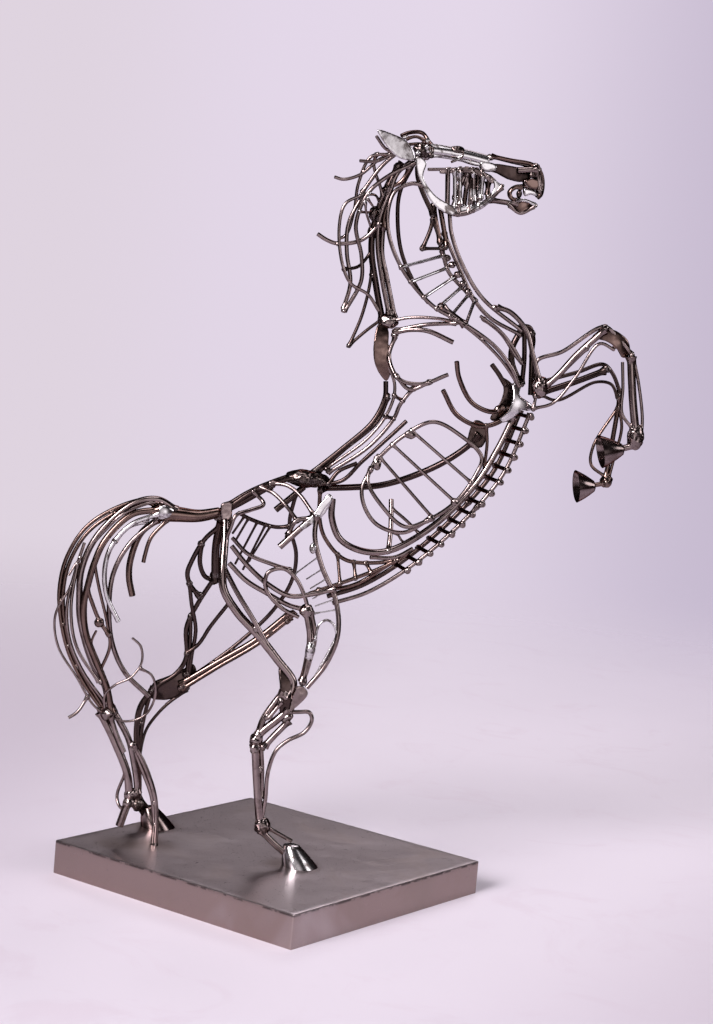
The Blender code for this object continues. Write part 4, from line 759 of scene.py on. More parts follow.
def lay_scraps():
    """The short wires, webs and drips of weld that are too fine for the solids."""
    rod("mane_top", ROD_3, [-5, 2], [(44, 724), (42, 715), (45, 704.6), (49.6, 695), (53.5, 684.6)])
    rod("mane_top", ROD_3, [-14, -9], [(42, 741), (52, 730), (60, 727)])
    rod("mane_front", WIRE, [-11, -8], [(38.8, 681), (45, 674)], look=DARK)
    rod("mane_front", WIRE, [-12, 2], [(32.7, 667.7), (40, 667.7), (46.5, 669)], look=DARK)
    rod("mane_front", WIRE, [-12, 2], [(40.4, 685.4), (46.5, 684.6), (50.4, 680)], look=DARK)
    rod("mane_front", WIRE, [-12, 2], [(37.3, 677), (38.8, 668), (42.7, 658.5), (45.8, 652)], look=DARK)
    rod("crest_dark", ROD_6, [2, 3], [(70, 718), (62, 704), (57, 690)])
    rod("crest_light", ROD_5, [1, 2], [(61, 686), (57, 670), (56.5, 655)], look=BROWN)
    rod("crest_light", ROD_4, [-8, -5], [(77, 713), (70, 700), (58, 693)], look=BROWN)
    weld("crest_dark", 47, 667, 3, (11, 9, 15))
    weld("crest_dark", 46, 650, 3, (9, 8, 11))
    # The bars and bands of the cheek cage
    for top, low in (((121.7, 714.4), (124.9, 681)), ((127, 714), (129.6, 684)),
        ((140, 714.5), (142.7, 688)), ((149.6, 712), (149.5, 691))):
        rod("cheek", ROD_4, [-12, -11], [top, low], look=BRIGHT)
    for top, low in (((114.7, 714.6), (117.3, 682.7)), ((135, 714), (133.7, 683)),
        ((132.4, 714), (124.1, 689)), ((144.4, 714), (146.5, 688)), ((155.3, 708), (155.7, 695))):
        rod("cheek", ROD_5, [-6, -7], [top, low], look=DARK)
    plate("cheek", SHEET, -12.5, [(107, 714.6), (118, 716.8), (134.5, 718.3), (153, 716), (163.5, 709),
        (159.5, 706.5), (150, 711.5), (134.8, 714.4), (118.6, 712.6), (107, 711.5)], lean=0.08)
    plate("cheek", SHEET, -11.5, [(123, 683), (133, 682.6), (144.3, 685.2), (155.2, 691.9), (160, 698),
        (161.5, 703.7), (160, 710.8), (169, 704.4), (164.8, 695.2), (160.4, 689.9), (151.3, 681),
        (138.7, 675), (124, 672.9)], lean=0.08, look=BRIGHT)
    # The face bar, a short tube with burnt ends
    rod("face_bar", FACE_TUBE, [-1, -1], [(95, 732.6), (115, 731.8), (137, 729.5), (152, 727)], look=BRIGHT)
    rod("face_bar", WIRE, -8, [(128, 735), (127, 729), (117, 723)], look=DARK)
    rod("face_bar", ROD_3, [6, 2], [(71, 741), (81, 744), (90, 741)])
    weld("face_bar", 122, 735, -4, (15, 9, 9), look=DARK)
    weld("face_bar", 89, 732, -6, (20, 12, 15), look=DARK)
    weld("face_bar", 84, 728.5, -11, (6, 5, 6))
    weld("face_bar", 92, 735, -11, (6, 5, 6), look=BRIGHT)
    weld("face_bar", 97, 728, -9, (6, 5, 7), look=DARK)
    plate("face_bar", BAR_END, -3, [(145, 725.5), (159.5, 725.2), (162, 721.4), (159.3, 718),
        (147.6, 718.5)], look=BRIGHT)
    # The muzzle's tubes, nostril, lips and mouth ring
    rod("muzzle", ROD_4, -4, [(156, 732.6), (175, 730.4), (196, 728.6), (203, 725)], look=BROWN)
    rod("muzzle", ROD_6, -6, [(183, 721.3), (202, 724)], look=STEEL)
    rod("muzzle", ROD_5, -5, [(201, 727), (206.5, 720), (209, 710), (208, 700), (205, 697)], look=DARK)
    rod("muzzle", ROD_3, -8, [(203, 722), (204.5, 713), (206.5, 704)], look=STEEL)
    plate("muzzle", PATCH, -7.5, [(191.5, 711.5), (198, 715), (205.5, 712.5), (204.5, 705.5),
        (198, 705.5)], look=BROWN)
    plate("muzzle", THICK_PATCH, -4, [(190.5, 704), (197, 704.6), (204, 702), (204.5, 698.5),
        (197.7, 699.5), (192.9, 697)], look=BRIGHT)
    rod("muzzle", ROD_4, -3, [(189, 705), (183, 705), (178.3, 701), (178, 697), (181, 693.5),
        (186, 692.3)], look=BROWN)
    weld("muzzle", 187, 699, 0, (6, 5, 9), look=DARK)
    weld("muzzle", 199, 718, -7, (8, 5, 6), look=DARK)
    rod("lower_jaw", ROD_4, -5, [(160.5, 691), (174, 690.3), (187, 689)], look=STEEL)
    rod("lower_jaw", ROD_3, -6, [(184, 692.5), (194, 693.2), (203.5, 690)], look=BRIGHT)
    rod("lower_jaw", ROD_3, -6, [(178, 687), (190, 680.5), (203, 688)], look=STEEL)
    rod("jowl", ROD_5, [-5, -7], [(103.8, 681.5), (108.1, 663.4), (113.8, 645.4)], look=BROWN)
    rod("jowl", ROD_5, [-3, -5], [(109.6, 682.0), (114.6, 664.0), (120.3, 642.8)], look=BROWN)
    for x, z in ((122, 631), (127.5, 625), (134, 616), (140, 607.5), (146, 600)):
        weld("throat_back", x, z, -2, (8, 6, 7))
    rod("neck_loop", ROD_6, [-25, -26], [(122, 583), (146, 568)])
    rod("keel", ROD_4, [-16, -12], [(73, 333), (98, 335), (115, 345)])
    rod("keel", WIRE, [-10, -13], [(93, 359), (99, 357), (103, 352), (107, 350)])
    rod("forearm_right", ROD_4, [-18, -27], [(228, 508), (270, 556)])
    for back, front in (((1, 312), (19, 329)), ((12, 307), (24.4, 318)), ((16.7, 298), (31, 309)),
                        ((20, 288), (34, 298)), ((23, 281), (41, 288)), ((24, 274), (41, 278))):
        rod("hip_strap", FINE_WIRE, [-46, "flank"], [back, front])
    plate("cannon_right", THIN_SHEET, -55, [(6, 210), (11, 210.5), (17, 204), (7.5, 190), (1, 185)],
        plane=-50)
    rod("cannon_right", ROD_4, -54, [(-7.5, 193.8), (-13.8, 185), (-18.8, 177.5)], plane=-50)
    weld("hock_left", -95, 197.5, 53, (7, 7, 7), plane=40)
    rod("tail_side", WIRE, [-5, -6], [(-209, 312.5), (-215, 302.5), (-218.8, 295)])
    rod("tail_middle", WIRE, [-9, -8], [(-188, 243), (-191, 235.6), (-192.8, 226.7)])
    rod("tail_side", ROD_3, ["tail_wire", -8], [(-189, 180), (-200, 162), (-208.5, 155)])
    rod("tail_strand_1", ROD_4, [-4, -9], [(-148.8, 353), (-165, 346), (-177, 331)])
    weld("tail_low", -142, 82, 0, (10, 10, 10))
    weld("dock", -131, 363, 0, (30, 16, 18), look=BROWN)
    plate("dock", PATCH, -7.5, [(-121, 365), (-134, 370), (-141, 364), (-137, 356), (-126, 358)],
        look=BRIGHT, cup=SLIGHT_BOW)
    plate("hip_strap", PATCH, -34, [(28, 392), (31, 388), (24, 377), (19, 367), (13, 362), (5, 356),
        (0, 357), (7, 365), (14, 373), (20, 384)], look=BRIGHT)
    plate("shank_right", THICK_PATCH, -14, [(-77, 375), (-68, 377), (-66, 366), (-67, 352), (-72, 350),
        (-76, 362)])
    weld("hip_strap", 16, 338, -46, (7, 6, 11))
    weld("thigh_right", 22, 236, -50, (8, 7, 18), look=BRIGHT)
    weld("rump_left", -77, 304, 42, (11, 10, 16))
    weld("cannon_right", -29, 156, -50, (13, 11, 12), plane=-50)
    for x, z, y, sizes in ((102, 457, -31, (12, 6, 9)), (72, 425, -26, (8, 6, 12)),
                           (152, 394, -38, (8, 7, 8)), (130, 376, -42, (8, 7, 8))):
        weld("rib_frame", x, z, y, sizes)


# Welds

def tree_of(points):
    """A tree that finds the points that lie nearest to a place."""
    tree = KDTree(len(points))
    for i, p in enumerate(points):
        tree.insert(p, i)
    tree.balance()
    return tree


def find_welds():
    """Puts a bead where a rod's end meets another rod, and tacks where two rods run side by side."""
    spots = []
    for number, one in enumerate(rods):
        spots += [(p, number, i) for i, p in enumerate(one.line)]
    tree = tree_of([p for p, _, _ in spots])
    rule = settings("welds")
    taken = []

    def free(place, reach):
        """Whether no bead lies within reach."""
        return all((place - other).length > reach for other in taken)

    def bead(owner, here, there, way, r1, r2):
        """Puts a bead between two rods, no bigger than suits the thinner one."""
        place = here.lerp(there, r1 / (r1 + r2))
        welds.append(Weld(owner.node, place, way, (r1 + min(r2, r1 * 1.1)) * rule.bead + rule.proud))
        taken.append(place)

    for number, one in enumerate(rods):
        if one.stock > ROD_8:
            continue
        for side, i in ((0, 0), (1, len(one.line) - 1)):
            r1 = one.radius(side)
            here = one.line[i]
            near = []
            for p, k, gap in tree.find_range(here, r1 + ROD_8 / 2 + END_SEARCH):
                _, other, j = spots[k]
                r2 = rods[other].radius(j / max(1, len(rods[other].line) - 1))
                if other != number and gap < r1 + r2 + END_GAP:
                    near.append((gap - r2, k, r2))
            if near:
                _, k, r2 = min(near)
                _, other, j = spots[k]
                one.welded[side] = True
                if free(here.lerp(spots[k][0], 0.5), BEAD_PITCH):
                    bead(one, here, spots[k][0], rods[other].way(j), r1, r2)
    for number, one in enumerate(rods):
        for i in range(2, len(one.line) - 2):
            r1 = one.radius(i / (len(one.line) - 1))
            here = one.line[i]
            for p, k, gap in tree.find_range(here, r1 + ROD_8 / 2 + SIDE_SEARCH):
                _, other, j = spots[k]
                r2 = rods[other].radius(j / max(1, len(rods[other].line) - 1))
                if other > number and gap < r1 + r2 + SIDE_GAP:
                    middle = here.lerp(p, r1 / (r1 + r2))
                    if free(middle, rule.tack_pitch):
                        bead(one, here, p, one.way(i), r1 * TACK_SHARE, r2 * TACK_SHARE)
                    break


# Shapes

class Body:
    """A closed shape with what its finish reads: for each vertex its place on the straightened rod and
    its tone, and one finish for all its faces."""

    def __init__(self, bm, places, tone, finish, weld_metal=0.0):
        self.bm = bm
        self.places = places
        self.tone = tone
        self.finish = finish
        self.weld_metal = weld_metal


def plain_body(bm, finish, weld_metal=0.0):
    """The body of anything but a rod: its finish reads where each vertex lies in the model."""
    return Body(bm, [tuple(v.co) for v in bm.verts], 0.0, finish, weld_metal)


def turned(columns):
    """The matrix that turns X, Y and Z into the three columns."""
    return Matrix([[c[i] for c in columns] for i in range(3)]).to_4x4()


def swept(stations, facets):
    """A closed shape swept along stations of (centre, side, up, radius), by extruding a circle."""
    bm = bmesh.new()

    def stand(centre, side, up, radius):
        """Where the unit circle stands at a station."""
        across = side.cross(up)
        return Matrix.Translation(centre) @ turned([side * radius, up * radius, across * radius])

    last = stand(*stations[0])
    bmesh.ops.create_circle(bm, cap_ends=True, radius=1, segments=facets, matrix=last)
    edges = list(bm.edges)
    for station in stations[1:]:
        grown = bmesh.ops.extrude_edge_only(bm, edges=edges)["geom"]
        edges = [g for g in grown if isinstance(g, bmesh.types.BMEdge)]
        verts = [g for g in grown if isinstance(g, bmesh.types.BMVert)]
        here = stand(*station)
        bmesh.ops.transform(bm, matrix=here @ last.inverted(), verts=verts)
        last = here
    bmesh.ops.contextual_create(bm, geom=edges)
    bmesh.ops.recalc_face_normals(bm, faces=bm.faces)
    return bm


def frames_along(line):
    """A side and an up direction for each point of a line, without twist."""
    side = None
    found = []
    for i in range(len(line)):
        way = way_along(line, i)
        if side is None:
            side = way.cross(Vector((0.31, 0.9, 0.17))).normalized()
        side = (side - way * side.dot(way)).normalized()
        found.append((side, way.cross(side), way))
    return found


def rod_body(one, number):
    """A round rod with a slight unevenness, and with the burr taken off its sawn ends."""
    rule = settings("rods")
    bevel = rule.cut_bevel
    frames = frames_along(one.line)
    run = lengths_along(one.line)
    stations = []
    marks = []
    for i, (p, (side, up, way)) in enumerate(zip(one.line, frames)):
        share = i / (len(one.line) - 1)
        uneven = noise.noise(Vector((run[i] * 55, number * 3.7, 0)))
        swell = sum(math.exp(-(off / rule.flare_reach) ** 2) for off, welded in
                    ((run[i], one.welded[0]), (run[-1] - run[i], one.welded[1])) if welded)
        radius = one.radius(share) * (1 + rule.waviness * uneven + rule.flare * swell)
        stations.append((p, side, up, radius))
        marks.append(run[i])
    for end, back in ((0, 1), (-1, -1)):
        p, side, up, radius = stations[end]
        way = frames[end][2] * back
        stations[end] = (p + way * bevel, side, up, radius)
        cap = (p, side, up, radius - bevel)
        if end == 0:
            stations.insert(0, cap)
            marks.insert(0, run[0])
            frames.insert(0, frames[0])
        else:
            stations.append(cap)
            marks.append(run[-1])
            frames.append(frames[-1])
    bm = swept(stations, rule.facets)
    places = []
    start = number * 0.37
    for i, v in enumerate(bm.verts):
        ring = min(i // rule.facets, len(stations) - 1)
        side, up, _ = frames[ring]
        off = v.co - stations[ring][0]
        places.append((start + marks[ring], off.dot(side), off.dot(up)))
    tone = noise.noise(Vector((number * 1.31, 4.2, 0.7))) * 1.6
    return Body(bm, places, tone, one.finish)


def roughened(bm, depth, size, seed):
    """Moves each vertex in or out by an unevenness of the given depth and size."""
    bm.normal_update()
    moves = []
    for v in bm.verts:
        swell = noise.noise(v.co / size + Vector((seed, 0, 0)))
        swell += 0.5 * noise.noise(v.co * 2.3 / size + Vector((0, seed, 0)))
        moves.append((v, v.normal * (depth * swell)))
    for v, move in moves:
        v.co += move


def bead_body(one, number):
    """A bead of weld metal, longer along the rod that it lies on."""
    side = one.way.cross(Vector((0.2, 0.3, 0.93))).normalized()
    up = one.way.cross(side)
    stretch = 1.25 + 0.25 * noise.noise(Vector((number * 2.17, 0.4, 0)))
    size = Matrix.Diagonal((one.radius * stretch, one.radius, one.radius, 1))
    bm = bmesh.new()
    place = Matrix.Translation(one.place) @ turned((one.way, side, up)) @ size
    bmesh.ops.create_icosphere(bm, subdivisions=3, radius=1, matrix=place)
    roughened(bm, one.radius * 0.26, one.radius * 0.9, number * 1.7)
    return plain_body(bm, finishes[one.node], 1.0)


def lump_body(one, seed):
    """A knobbly ball of weld metal."""
    bm = bmesh.new()
    shape = Matrix.Diagonal([*(one.sizes / 2), 1])
    bmesh.ops.create_icosphere(bm, subdivisions=4, radius=1, matrix=Matrix.Translation(one.centre) @ shape)
    roughened(bm, min(one.sizes) * 0.10, min(one.sizes) * 0.35, seed)
    return bm


def prism(outline, thickness):
    """The outline as a plate of the given thickness, square to Y."""
    bm = bmesh.new()
    half = Vector((0, thickness / 2, 0))
    face = bm.faces.new([bm.verts.new(p - half) for p in outline])
    grown = bmesh.ops.extrude_face_region(bm, geom=[face])["geom"]
    verts = [g for g in grown if isinstance(g, bmesh.types.BMVert)]
    bmesh.ops.translate(bm, verts=verts, vec=half * 2)
    bmesh.ops.recalc_face_normals(bm, faces=bm.faces)
    return bm


def mesh_of(shapes, name="shape"):
    """One mesh with all the shapes, which are used up."""
    joined = bmesh.new()
    for bm in shapes:
        mesh = bpy.data.meshes.new("shape")
        bm.to_mesh(mesh)
        bm.free()
        joined.from_mesh(mesh)
        bpy.data.meshes.remove(mesh)
    mesh = bpy.data.meshes.new(name)
    joined.to_mesh(mesh)
    joined.free()
    return mesh


def melted(shapes, voxel, passes):
    """The shapes run together into one skin, as weld metal and ground sheet do."""
    obj = bpy.data.objects.new("melt", mesh_of(shapes))
    bpy.context.scene.collection.objects.link(obj)
    remesh = obj.modifiers.new("Skin", "REMESH")
    remesh.mode = "VOXEL"
    remesh.voxel_size = voxel
    graph = bpy.context.evaluated_depsgraph_get()
    result = bpy.data.meshes.new_from_object(obj.evaluated_get(graph))
    old = obj.data
    bpy.data.objects.remove(obj)
    bpy.data.meshes.remove(old)
    bm = bmesh.new()
    bm.from_mesh(result)
    bpy.data.meshes.remove(result)
    for _ in range(passes):
        bmesh.ops.smooth_vert(bm, verts=bm.verts, factor=0.5, use_axis_x=True, use_axis_y=True,
                              use_axis_z=True)
    return bm


def fillets(node, centre, reach):
    """Short sleeves round the node's rods near a web, so that the web runs out along them."""
    made = []
    for one in rods:
        if one.node != node or one.stock > ROD_8:
            continue
        runs = [[]]
        for p in one.line:
            if (p - centre).length < reach:
                runs[-1].append(p)
            elif runs[-1]:
                runs.append([])
        for line in runs:
            if len(line) < 3:
                continue
            stations = []
            for p, (side, up, _) in zip(line, frames_along(line)):
                near = 1 - (p - centre).length / reach
                stations.append((p, side, up, one.stock / 2 + SLEEVE_RISE * near - SLEEVE_SINK))
            made.append(swept(stations, SLEEVE_FACETS))
    return made


def web_bodies(node):
    """The node's scraps of sheet and its lumps, melted into the rods that they join."""
    bodies = []
    voxel = settings("welds").voxel
    edge_step = 0.002
    dent_size, ground_dent, rough_dent = 0.011, 0.00012, 0.0003
    for number, one in enumerate(s for s in sheets if s.node == node):
        bm = prism(through(one.outline, edge_step, closed=True), one.thickness)
        middle = sum(one.outline, Vector()) / len(one.outline)
        reach = max((p - middle).length for p in one.outline)
        ground = one.finish == BRIGHT
        bm = melted([bm, *fillets(node, middle, reach * 0.9)], voxel, 8 if ground else 4)
        if one.cup:
            for v in bm.verts:
                off = min(1.0, (v.co - middle).length / reach)
                v.co.y += one.cup * off * off
        roughened(bm, ground_dent if ground else rough_dent, dent_size, number + len(node))
        bodies.append(plain_body(bm, one.finish))
    for number, one in enumerate(l for l in lumps if l.node == node):
        sleeves = fillets(node, one.centre, max(one.sizes) * 0.85)
        bm = melted([lump_body(one, number * 2.3 + len(node)), *sleeves], voxel, 3)
        bodies.append(plain_body(bm, one.finish, 0.6))
    return bodies


def hoof_body(sole, top, sole_radius, top_radius, normal):
    """A hollow cone of sheet, open at the sole, with a rolled upper rim."""
    low = world(Vector(sole))
    high = world(Vector(top))
    axis = Vector(normal).normalized()
    side = Vector((0, 1, 0))
    up = axis.cross(side).normalized()
    wall = 0.0012
    steps = 10
    facets = 40
    hollow = 0.86
    swell = 0.0007
    crown = 0.0008
    stations = []
    for i in range(steps + 1):
        t = 1 - i / steps
        radius = (sole_radius + (top_radius - sole_radius) * t) * MM - wall * 1.4
        stations.append((low.lerp(high, t * hollow), side, up, max(radius, wall)))
    for i in range(steps + 1):
        t = i / steps
        bulge = swell * math.sin(math.pi * t)
        radius = (sole_radius + (top_radius - sole_radius) * t) * MM + bulge
        stations.append((low.lerp(high, t), side, up, radius))
    stations.append((high + axis * crown, side, up, top_radius * MM * 0.7))
    return swept(stations, facets)


def lay_hooves():
    """Places the fore hooves, and gives all four hooves bright sheet as their first finish."""
    for node in HOOVES:
        finishes[node] = BRIGHT
    for node, (y, low, high) in FORE_HOOVES.items():
        sole, top = at(*low, y + HOOF_TURN), at(*high, y - HOOF_TURN)
        HOOVES[node] = (sole, top, FORE_SOLE, FORE_RIM, top - sole)
        finishes[node] = BRIGHT


def recut(node, outline, look=None, plane=0.0, cup=0.0):
    """Gives the first scrap of a node the outline and the bow that its finished web has."""
    scrap = next(sheet for sheet in sheets if sheet.node == node)
    y = (scrap.outline[0].y - MIDDLE.y) / MM
    scrap.outline = [world(at(x, z, y, plane)) for x, z in outline]
    scrap.finish = look or scrap.finish
    scrap.cup = cup


def lay_webs():
    """Draws the seen edges of the webs that the solids only block out."""
    recut("face_bar", [(94, 737.5), (130, 734.5), (155, 730), (146, 722), (115, 727.5), (94, 726.5)])
    recut("muzzle", [(156, 724.5), (188, 724.5), (201, 727), (202, 722), (190, 711), (176, 712),
        (164, 716.5), (156, 719)], DARK, cup=SLIGHT_BOW)
    recut("lower_jaw", [(178.8, 687.6), (190.4, 680), (199, 684), (204, 690), (198, 693), (190, 693.5),
        (184, 690)], BROWN, cup=SLIGHT_BOW)
    recut("cheek_strap", [(83, 726), (93, 720.5), (91.5, 707), (102.5, 692), (112, 686), (124, 680.5),
        (127, 676), (124, 672.5), (110.5, 676.5), (99.8, 685), (92, 697), (85, 709.5)])
    recut("breast_plate", [(199.8, 515), (208.5, 514), (207, 504.4), (217, 498), (224, 493), (218, 489),
        (210.7, 489), (203, 481), (193.3, 475), (190, 478), (198, 489), (200.5, 503)], cup=DEEP_BOW)
    recut("hip_strap", [(26, 393), (31, 390), (24, 372), (18, 366), (15, 370), (20, 382)])
    recut("shoulder_hook", [(62, 562), (58, 545), (60, 525), (68, 512), (74, 507), (77, 514), (73, 536),
        (70, 560)], BROWN, cup=BOW)
    recut("forearm_right", [(275, 566), (292, 576), (311, 566), (314, 552), (308, 549), (299, 558),
        (288, 564)], BROWN, cup=DEEP_BOW)
    recut("shank_right", [(-12, 226), (-2, 217), (4, 211), (9, 206), (6, 192), (3, 178), (-3, 174),
        (-9, 186), (-10, 204)], DARK, -50, cup=BOW)
    recut("hock_left", [(-126, 186), (-112, 194), (-99, 201), (-88, 207), (-84, 199), (-92, 184),
        (-101, 175), (-113, 170), (-128, 171)], DARK, 40, cup=DEEP_BOW)
    for one in rods:
        if one.node == "face_bar" and one.stock <= ROD_4:
            one.finish = BROWN
        if one.node == "mane_front":
            one.finish = STEEL
        if one.node == "throat_back" and one.stock == ROD_3:
            one.finish = BRIGHT


def lay_out():
    """Lays every rod, sheet and lump once, and finds the welds between them."""
    if rods:
        return
    for lay in (lay_hooves, lay_head, lay_neck, lay_shoulder, lay_ribs, lay_belly_ladder, lay_breast,
                lay_forelegs, lay_croup, lay_hind_right, lay_hind_left, lay_tail, lay_scraps, lay_webs):
        lay()
    find_welds()


def heat_and_shade_sources():
    """A tree of the beads, the melted lumps and the sheets, which the heat tint and the painted crevice
    shade spread from.
    """
    heat_and_shade = [(w.place, w.radius) for w in welds] + [(l.centre, min(l.sizes) / 2) for l in lumps]
    sheet_reach = 0.004
    heat_and_shade += [(sum(s.outline, Vector()) / len(s.outline), sheet_reach) for s in sheets]
    return tree_of([p for p, _ in heat_and_shade]), heat_and_shade


def piece_of(node, bodies):
    """One piece from its bodies, with its finishes and what they read, in the place of a CAD node."""
    lay_out()
    places = np.array([p for body in bodies for p in body.places], np.float32)
    tones = np.concatenate([np.full(len(b.places), b.tone, np.float32) for b in bodies])
    metal = np.concatenate([np.full(len(b.places), b.weld_metal, np.float32) for b in bodies])
    used = list(dict.fromkeys(body.finish for body in bodies))
    slots = np.concatenate([np.full(len(b.bm.faces), used.index(b.finish), np.int32) for b in bodies])
    mesh = mesh_of([body.bm for body in bodies], node)
    mesh.polygons.foreach_set("material_index", slots)
    # Nearness to a weld, which the finishes read as heat tint and as painted crevice shade.
    tree, heat_and_shade = heat_and_shade_sources()
    reach = settings("welds").heat_and_shade_reach
    heat = np.empty(len(places), np.float32)
    for i, v in enumerate(mesh.vertices):
        p, k, gap = tree.find(v.co)
        off = max(0.0, gap - heat_and_shade[k][1]) / reach
        heat[i] = math.exp(-off * off)
    for name, kind, values in (("rod_place", "FLOAT_VECTOR", places), ("tone", "FLOAT", tones),
                               ("weld_metal", "FLOAT", metal), ("heat", "FLOAT", heat)):
        made = mesh.attributes.new(name, kind, "POINT")
        made.data.foreach_set("vector" if kind == "FLOAT_VECTOR" else "value", values.ravel())
    mesh.shade_smooth()
    mesh.set_sharp_from_angle(angle=SHARP_ANGLE)
    for finish in used:
        mesh.materials.append(finish_of(finish))
    mesh.update()
    obj = bpy.data.objects.new("dressed_" + node, mesh)
    bpy.context.scene.collection.objects.link(obj)
    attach(obj, "root")
    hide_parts(node)


def build_nodes(*nodes):
    """Builds the dressed piece of each node from its rods, beads, sheets and lumps."""
    lay_out()
    for node in nodes:
        bodies = [rod_body(one, i) for i, one in enumerate(rods) if one.node == node]
        bodies += web_bodies(node)
        bodies += [bead_body(one, i) for i, one in enumerate(welds) if one.node == node]
        if node in HOOVES:
            look = BRIGHT if node == "hoof_hind_right" else STEEL
            bodies.append(plain_body(hoof_body(*HOOVES[node]), look))
        piece_of(node, bodies)


# Finishes

def dimmed(colour, factor):
    """A colour multiplied by one factor."""
    return [c * factor for c in colour]


def shaded(colour, factors):
    """A colour with its red, green and blue each multiplied by a factor."""
    return [c * g for c, g in zip(colour, factors)]


class Wire:
    """A socket of a material's nodes, or of the world's, that can be reckoned with."""

    def __init__(self, sheet, socket):
        self.sheet = sheet
        self.socket = socket

    def maths(self, operation, *values):
        """The outcome of an operation on the values."""
        return self.sheet.node("ShaderNodeMath", {"operation": operation}, dict(enumerate(values)))

    def __add__(self, other):
        return self.maths("ADD", self, other)

    def __radd__(self, other):
        return self.maths("ADD", other, self)

    def __sub__(self, other):
        return self.maths("SUBTRACT", self, other)

    def __rsub__(self, other):
        return self.maths("SUBTRACT", other, self)

    def __mul__(self, other):
        return self.maths("MULTIPLY", self, other)

    def __rmul__(self, other):
        return self.maths("MULTIPLY", other, self)

    def __pow__(self, other):
        return self.maths("POWER", self, other)


class Finish:
    """The nodes of one finish."""

    def __init__(self, tree):
        self.tree = tree
        self.tree.nodes.clear()

    def node(self, kind, set_first=None, sockets=None, out=0):
        """Adds a node, sets it, then gives its sockets their values or links."""
        made = self.tree.nodes.new(kind)
        for key, value in (set_first or {}).items():
            setattr(made, key, value)
        for key, value in (sockets or {}).items():
            if isinstance(value, Wire):
                self.tree.links.new(value.socket, made.inputs[key])
            else:
                made.inputs[key].default_value = value
        return Wire(self, made.outputs[out]) if made.outputs else None

    def vectors(self, operation, *values, out=0):
        """The outcome of an operation on vectors."""
        return self.node("ShaderNodeVectorMath", {"operation": operation}, dict(enumerate(values)), out)

    def attribute(self, name, out="Fac"):
        """What a vertex of the mesh was given under the name."""
        return self.node("ShaderNodeAttribute", {"attribute_name": name}, out=out)

    def place(self):
        """Where the shaded point lies in the model."""
        return self.node("ShaderNodeTexCoord", out="Object")

    def stretched(self, vector, factors):
        """A place with each of its three measures multiplied by a factor."""
        return self.vectors("MULTIPLY", vector, factors)

    def grain(self, vector, scale, detail=2.0, rough=0.5, distortion=0.0):
        """Cloudy noise of the given scale."""
        sockets = {"Vector": vector, "Scale": scale, "Detail": detail, "Roughness": rough,
                   "Distortion": distortion}
        return self.node("ShaderNodeTexNoise", sockets=sockets)

    def spots(self, vector, scale):
        """Scattered cells of the given scale."""
        return self.node("ShaderNodeTexVoronoi", sockets={"Vector": vector, "Scale": scale})

    def between(self, value, low, high, to_low=0.0, to_high=1.0):
        """Turns a value from low to high into a smooth step."""
        sockets = {"Value": value, "From Min": low, "From Max": high, "To Min": to_low, "To Max": to_high}
        return self.node("ShaderNodeMapRange", {"interpolation_type": "SMOOTHSTEP"}, sockets)

    def blend(self, share, a, b):
        """Blends two colours, each a colour or a link."""
        a, b = (c if isinstance(c, Wire) else (*c, 1) for c in (a, b))
        return self.node("ShaderNodeMix", {"data_type": "RGBA"}, {0: share, 6: a, 7: b}, out=2)

    def ramp(self, value, stops):
        """A colour for the value, through stops of (place, colour)."""
        made = self.node("ShaderNodeValToRGB", sockets={0: value})
        bar = made.socket.node.color_ramp
        while len(bar.elements) < len(stops):
            bar.elements.new(0.5)
        for element, (place, colour) in zip(bar.elements, stops):
            element.position = place
            element.color = (*colour, 1)
        return made

    def bump(self, height, distance, strength=1.0, under=None):
        """Relief of the given height, on top of the relief under it."""
        sockets = {"Height": height, "Distance": distance, "Strength": strength}
        if under:
            sockets["Normal"] = under
        return self.node("ShaderNodeBump", sockets=sockets)

    def surface(self, sockets):
        """Ends the sheet with a surface that has the given sockets."""
        shader = self.node("ShaderNodeBsdfPrincipled", sockets=sockets)
        self.node("ShaderNodeOutputMaterial", sockets={"Surface": shader})


def new_finish(name):
    """A new material, and the sheet that its nodes are put on."""
    material = bpy.data.materials.new(name)
    material.use_nodes = True
    return material, Finish(material.node_tree)


# The materials made so far, by the name of the finish
made_finishes = {}


